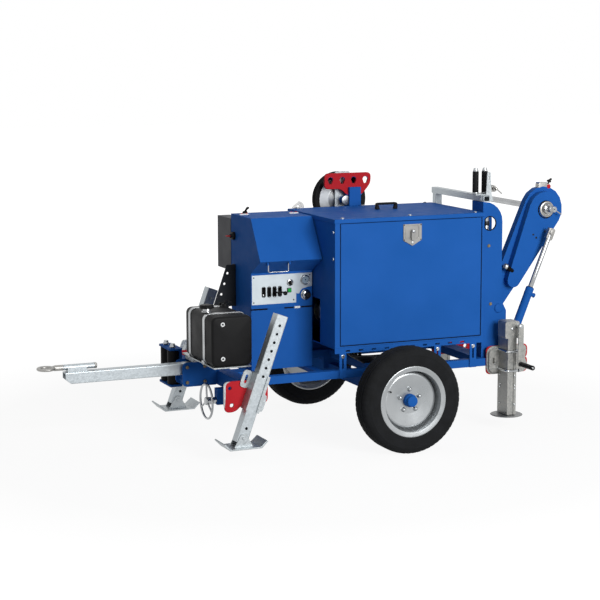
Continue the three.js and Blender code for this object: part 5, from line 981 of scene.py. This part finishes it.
# Reel column: two blue cheek plates behind the hood. A rubber-edged sight hole in the near one shows
# the bright bar of the level wind's drive.
dressed("reel_column", blue_enamel, 1.6)
cheek_face, bar_line, arm_pivot, cylinder_foot = -290, (668, -262, 0), (738, 0, 655), (804, -324, 487)
bead_section = [(38 + 2.6 * math.cos(angle), cheek_face + 2.4 * math.sin(angle))
                for angle in np.linspace(0, 2 * math.pi, 13)]
built("sight_bead", [turned("y", (677, 0, 1125), bead_section, 72)], "machine", black_rubber_and_shade)
drive_bar = [round_bar("z", bar_line, 1062, 1120, 15, 1), round_bar("z", bar_line, 1128, 1200, 15, 1)]
built("drive_bar", drive_bar, "machine", zinc_bolt)
built("drive_chain_lock", [round_bar("z", bar_line, 1112, 1136, 19, 2)], "machine", black_steel_and_shade)
column_bolts = []
for x, z in ((672.5, 1002.4), (688.2, 681.5)):
    column_bolts += hex_bolt("y", (x, 0, z), cheek_face, -1, 15, 6)
built("column_bolts", column_bolts, "machine", bronze_bolt)
pivot_head = [lathed("y", arm_pivot, [(0, -289), (26, -289), (26, -293), (21, -297.6), (0, -298)], 1.5, 40),
              lathed("y", arm_pivot, [(0, -166), (26, -166), (26, -162), (21, -157.4), (0, -157)], 1.5, 40)]
built("pivot_heads", pivot_head, "machine", blue_enamel)
built("cylinder_pin_head",
      [lathed("y", cylinder_foot,
              [(0, -336.2), (16, -336.2), (16, -341), (12, -344), (12, -351.6), (0, -352)], 1, 40)],
      "machine", zinc_bolt)


# Reel arm: a welded blue box with a rounded head, the chain case on its near face, a bearing ringed
# by a painted shadow in black, and the clamp that locks the reel on its shaft.
dressed("reel_arm", blue_enamel, 1.8)
case_face = -270
# Painted shadow: a black ring, a little off the bearing's centre, where the chain case's rounded end lies in
# shade.
ring = lathed("y", (1040, 0, 1184),
              [(44, case_face + 1), (50, case_face + 1), (50, case_face - 3), (44, case_face - 3),
               (44, case_face + 1)], 0.8, 80)
built("painted_bearing_shadow", [ring], "reel_arm", black_rubber_and_shade)
bearing_shape = softened([(23, case_face - 1), (43.5, case_face - 1), (43.5, case_face - 6.4),
                          (36, case_face - 9), (34, case_face - 6.8), (23, case_face - 6.8),
                          (23, case_face - 1)], 1, 2)
built("bearing_cover", [turned("y", (1044, 0, 1186), bearing_shape, 80)], "reel_arm", forged_zinc)
for index, (x, z) in enumerate(((962, 1048), (982, 1030)), 1):
    built(f"case_screw_{index}",
          [lathed("y", (x, 0, z), [(0, -269.6), (5.5, -269.6), (5, -272), (0, -272.4)], 0.6, 20)], "reel_arm",
          black_steel_and_shade)


def along(first, second, share):
    """A place part of the way from one point to another."""
    return np.asarray(first, float) * (1 - share) + np.asarray(second, float) * share


buffer_from, buffer_to = np.array((788, -264, 884.0)), np.array((836, -264, 853.0))
rod_of_buffer = [pipe([along(buffer_from, buffer_to, share) for share in (0.25, 0.5, 1)], 12.5, 28),
                 pipe([along(buffer_from, buffer_to, share) for share in (1, 1.12)], 9, 28)]
built("stop_buffer", rod_of_buffer, "machine", black_rubber_and_shade)
washer = [pipe([along(buffer_from, buffer_to, share) for share in (0, 0.1, 0.25)], (14, 17, 17), 32)]
built("buffer_washer", washer, "machine", zinc_bolt)
clamp_axis = (1083, 0, 1306)
clamp_parts = [soft_box("xz", (1018, 1074), (1285, 1331), (-225, -189), 14, 2, 8),
               lathed("y", clamp_axis, [(0, -222), (15, -222), (15, -194), (0, -194)], 1.5, 40)]
built("clamp_body", clamp_parts, "reel_arm", forged_zinc)
clamp_face = lathed("y", clamp_axis, [(0, -221.5), (12.4, -221.5), (12, -226), (0, -226.8)], 1, 40)
built("clamp_end", [clamp_face], "reel_arm", red_enamel)
wing = [pipe([(1084, -207, 1312), (1092, -207, 1326), (1096, -207, 1334)], 5, 20),
        pipe([(1083, -207, 1337), (1092, -207, 1336), (1100, -207, 1340), (1110, -207, 1347)], (5, 7, 7, 5.5),
             20),
        pipe([(1098, -207, 1336), (1106, -207, 1329)], (6, 4.5), 20)]
built("clamp_wing_knob", wing, "reel_arm", black_nylon)


# Lift cylinder: a blue barrel with a screwed collar and an oil port, and a hard-chromed rod with a
# galvanised fork and pin.
rod_eye_x, rod_eye_z = 1040, 1064
foot_x, foot_y, foot_z = cylinder_foot
lean = math.atan2(rod_eye_x - foot_x, rod_eye_z - foot_z)
rod_length = math.hypot(rod_eye_x - foot_x, rod_eye_z - foot_z)


def leaned(sheet):
    """Carries a sheet drawn upright about the foot of the cylinder to the cylinder's own lean."""
    foot = at(*cylinder_foot)
    flat = sheet - foot
    return foot + flat @ np.array([[math.cos(lean), 0, -math.sin(lean)], [0, 1, 0],
                                   [math.sin(lean), 0, math.cos(lean)]])


barrel_shape = [(14.6, 37), (14.6, 299), (21, 299.5), (23, 297), (23, 268), (24.4, 267), (24.4, 262),
                (23, 261), (23, 40), (20, 24), (0, 23)]
barrel_shape = softened([(radius, foot_z + along_z) for radius, along_z in barrel_shape], 1.2, 3)
barrel_parts = [leaned(turned("z", cylinder_foot, barrel_shape, 64)),
                leaned(lathed("x", (0, foot_y, foot_z + 265),
                              [(0, 825), (11, 825), (11, 838), (13, 839), (13, 846), (0, 847.7)], 1, 32)),
                leaned(lathed("y", cylinder_foot,
                              [(12.6, -312), (24, -312), (24, -336), (12.6, -336), (12.6, -312)], 1.2, 48)),
                leaned(soft_box("xy", (791, 817), (-336, -312), (foot_z + 15.6, foot_z + 30), 4, 1, 4))]
built("oil_cylinder", barrel_parts, "cylinder_barrel", blue_enamel, ["cylinder_barrel"])
wiper = leaned(lathed("z", cylinder_foot,
                      [(14.1, foot_z + 299), (18.5, foot_z + 299), (18, foot_z + 302.5),
                       (14.1, foot_z + 303.5), (14.1, foot_z + 299)], 0.6, 40))
built("rod_wiper", [wiper], "cylinder_barrel", black_rubber_and_shade)
rod = leaned(lathed("z", cylinder_foot,
                    [(0, foot_z + 211), (14, foot_z + 211), (14, foot_z + rod_length - 15),
                     (0, foot_z + rod_length - 15)], 1, 64))
built("chromed_rod", [rod], "cylinder_rod", chrome, ["cylinder_rod"])
fork_parts = [leaned(soft_box("xz", (784, 824), (foot_z + rod_length - 44, foot_z + rod_length + 22),
                              (-337, -311), 9, 2, 6)),
              leaned(lathed("y", (foot_x, 0, foot_z + rod_length),
                            [(0, -346), (14, -346), (14, -338), (10, -337), (10, -271.2), (0, -271)], 1, 40))]
built("rod_fork", fork_parts, "cylinder_rod", forged_zinc)


# Reel shaft: a ground steel bar with a locking disc, a tommy bar and a domed nut whose hole is a black disc
# of painted shade.
shaft_steel = metal("ground_steel_bar", "#8f9193", "#a6a8aa", 0.24, (1, 0.05, 1), 2, 0.01)
face, reel_x, reel_z = -276.6, 1049, 1188
end_x, end_z = 1072, 1186
end_axis = (end_x, 0, end_z)
shaft_shape = softened([(0, 400), (17, 400), (17, -163), (25.5, -163), (25.5, -174.6), (17, -174.6),
                        (17, face), (28.9, face), (28.9, face - 13.4), (17, face - 14), (17, face - 34),
                        (14, face - 41.4), (0, face - 41.6)], 1, 2)
tommy = [pipe([(end_x - 46, face - 28, end_z + 29), (end_x, face - 28, end_z),
               (end_x + 46, face - 28, end_z - 29)], 3.6, 20),
         round_bar("x", (0, face - 28, reel_z), 1013.2, 1050, 4.6, 1.5, 24)]
built("reel_bar", [turned("y", (reel_x, 0, reel_z), shaft_shape, 72)] + tommy, "reel_shaft", shaft_steel,
      ["reel_shaft"])
end_disc = lathed("y", end_axis,
                  [(0, face - 20), (15, face - 20), (17, face - 24), (17, face - 30), (14, face - 33.6),
                   (0, face - 34)], 1.5, 48, 3)
# Painted shade: a small black disc stands for the dark inside of the locking hole.
lock_hole_shade = lathed("y", end_axis, [(0, face - 33.9), (3.4, face - 33.9), (3, face - 34.8), (0, face - 35)],
                   0.4, 24)
built("lock_knob", [end_disc], "reel_shaft", zinc_bolt)
built("painted_hole_shade", [lock_hole_shade], "reel_shaft", black_steel_and_shade)


# Level wind: a galvanised rail across the rear of the hood and a folded carriage that slides on it,
# with two black rollers that guide the rope on to the reel.
dressed("level_wind_beam", zinc_tube, 1.2)
dressed("wind_carriage", zinc_casting, 1.2)
guide_places, guide_line = (627, 683), -214
for index, x in enumerate(guide_places, 1):
    skin = lathed("z", (x, guide_line, 0),
                  [(7, 1290.2), (16, 1290.2), (17, 1292), (17, 1402), (16, 1403.8), (7, 1403.8), (7, 1290.2)],
                  1.2, 48, 3)
    built(f"wind_skin_{index}", [skin], f"wind_roller_{index}", roller_rubber, [f"wind_roller_{index}"])
    caps = [lathed("z", (x, guide_line, 0),
                   [(0, 1404.2), (15, 1404.2), (15, 1413), (12, 1414), (12, 1423), (0, 1424)], 1, 36),
            lathed("z", (x, guide_line, 0), [(0, 1289.8), (19, 1289.8), (19, 1285.5), (0, 1284)], 1, 36)]
    built(f"wind_caps_{index}", caps, "wind_carriage", zinc_bolt)
screw_axis = (722, 0, 1310)
clamp_screw = [soft_box("xz", (707, 734), (1292, 1326), (-250, -204), 4, 2, 4),
               round_bar("y", screw_axis, -284, -249, 6.5, 1, 24),
               lathed("y", screw_axis, [(0, -266), (12, -266), (12, -256), (0, -256)], 1, 32),
               pipe([(696, -279, 1332), (722, -279, 1310), (754, -279, 1284)], 3.4, 20)]
built("carriage_screw", clamp_screw, "wind_carriage", forged_zinc)
built("carriage_nut", [lathed("x", (0, guide_line, 1262), [(0, 687), (11, 687), (11, 697), (0, 697)], 1, 6)],
      "wind_carriage", blue_enamel)


# Capstan side: a blue plate with two hydraulic planetary drives and two cast bull wheels, each with
# five polished rope grooves.
dressed("capstan_plate", blue_enamel, 2)
groove_steel = metal("polished_cast_grooves", "#8c8f92", "#a2a5a7", 0.28, grain_mm=3, depth=0.015)
half_pitch, groove_count, drum_near, drum_radius, groove_depth = 15, 5, 420, 150, 12.5
drum_places, drum_height = (-110, 215), 780
hub_bolts, hub_circle, ring_bolt_count, ring_circle = 8, 42, 10, 74
wheel_shape = [(31, 372.8), (54, 372.8), (54, 433), (122, 433), (122, 420.4), (147, 420.4), (149.6, 422)]
for index in range(groove_count):
    middle = drum_near + half_pitch * (2 * index + 1)
    wheel_shape += [(drum_radius - groove_depth * math.cos(angle) ** 0.8, middle + 11.6 * math.sin(angle))
                    for angle in np.linspace(-math.pi / 2 * 0.98, math.pi / 2 * 0.98, 11)]
wheel_shape += [(149.6, 568), (147, 569.6), (122, 569.6), (122, 456), (54, 456), (54, 556), (0, 556),
                (0, 541), (31, 541), (31, 372.8)]
for index, x in enumerate(drum_places, 1):
    wheel = lathed("y", (x, 0, drum_height), wheel_shape, 0.6, 160)
    built(f"grooved_drum_{index}", [wheel], f"bull_wheel_{index}", groove_steel, [f"bull_wheel_{index}"],
          angle=40)
    bolts = []
    for centre in ring_places(x, drum_height, hub_circle, hub_bolts):
        bolts += hex_bolt("y", centre, 555.8, 1, 13, 7)
    built(f"drum_bolts_{index}", bolts, f"bull_wheel_{index}", zinc_bolt)
    ring_bolts = []
    for centre in ring_places(x, drum_height, ring_circle, ring_bolt_count):
        ring_bolts += hex_bolt("y", centre, 335.2, 1, 13, 6)
    built(f"drive_bolts_{index}", ring_bolts, "machine", zinc_bolt)
    built(f"drive_flange_{index}",
          [lathed("y", (x, 0, drum_height),
                  [(60, 335.2), (84, 335.2), (84, 341), (66, 342), (63.5, 346), (63.5, 371.4), (60, 371.4),
                   (60, 335.2)], 1.2, 80)], "machine", cast_grey)


# Mast: a blue post with a red lifting plate that has four egg-shaped lifting holes, and the guide
# pulley on a galvanised arm behind it.
dressed("pulley_mast", blue_enamel, 1.8)
pulley_axis, lifting_holes = (103, 0, 1220), (10, 83, 153, 225)


def egg(x):
    """One lifting hole: narrow below and round above."""
    return np.concatenate([circle(x, 1334.5, 16.4, 17, 0, 180), circle(x, 1322, 11.2, 13, 180, 180)])


lift_outline = rounded_path([(-25.6, 1284.4), (76, 1284.4), (113, 1244.4), (200, 1244.4), (246, 1296),
                             (258.6, 1320), (258.6, 1372.6), (-25.6, 1372.6)], 26, 9)
plate("lifting_plate", "xz", lift_outline, 339.2, 353.2, "machine", red_enamel,
      [egg(x) for x in lifting_holes], 1.4)
plate("pulley_arm", "xz", rounded(59.2, 150.8, 1149.2, 1378.8, 14.4), 386.8, 396.8, "machine", zinc_casting,
      [circle(105, 1355.6, 9.4)], 1.2)
web_shape = softened([(18.8, 410), (36, 410), (70, 425.5), (127, 425.5), (132, 427), (132, 437), (127, 438.5),
                      (70, 438.5), (36, 454), (18.8, 454), (18.8, 410)], 1.5, 3)
built("pulley_web", [turned("y", pulley_axis, web_shape, 120)], "guide_pulley", rim_silver, ["guide_pulley"])
lining = softened([(131, 406), (153, 404.2), (155, 406), (144, 425), (143, 432), (144, 439), (155, 458),
                   (153, 459.8), (131, 458), (130, 432), (131, 406)], 2, 3)
built("pulley_lining", [turned("y", pulley_axis, lining, 160)], "guide_pulley", roller_rubber,
      angle=45)
pin_parts = [lathed("y", pulley_axis, [(0, 329.6), (26, 329.6), (26, 337), (20, 339.8), (0, 339.8)], 1.5, 48),
             lathed("y", pulley_axis, [(0, 461), (26, 461), (26, 470), (18, 474.6), (0, 475)], 1.5, 6)]
built("pulley_pin_heads", pin_parts, "machine", machined_steel)

# Rope guide at the front corner of the hood: a bent galvanised plate bolted to its far wall.
guide_outline = rounded_path([(-243, 1112), (-187, 1112), (-165, 1209), (-195, 1231), (-239, 1197)], 12)
plate("rope_guide", "xz", guide_outline, 303.2, 309.2, "machine", forged_zinc, [circle(-203, 1201, 7)], 1.2)
guide_bolts = [part for x in (-227, -201) for part in hex_bolt("y", (x, 0, 1132), 309, 1, 15, 7)]
built("guide_bolts", guide_bolts, "machine", zinc_bolt)
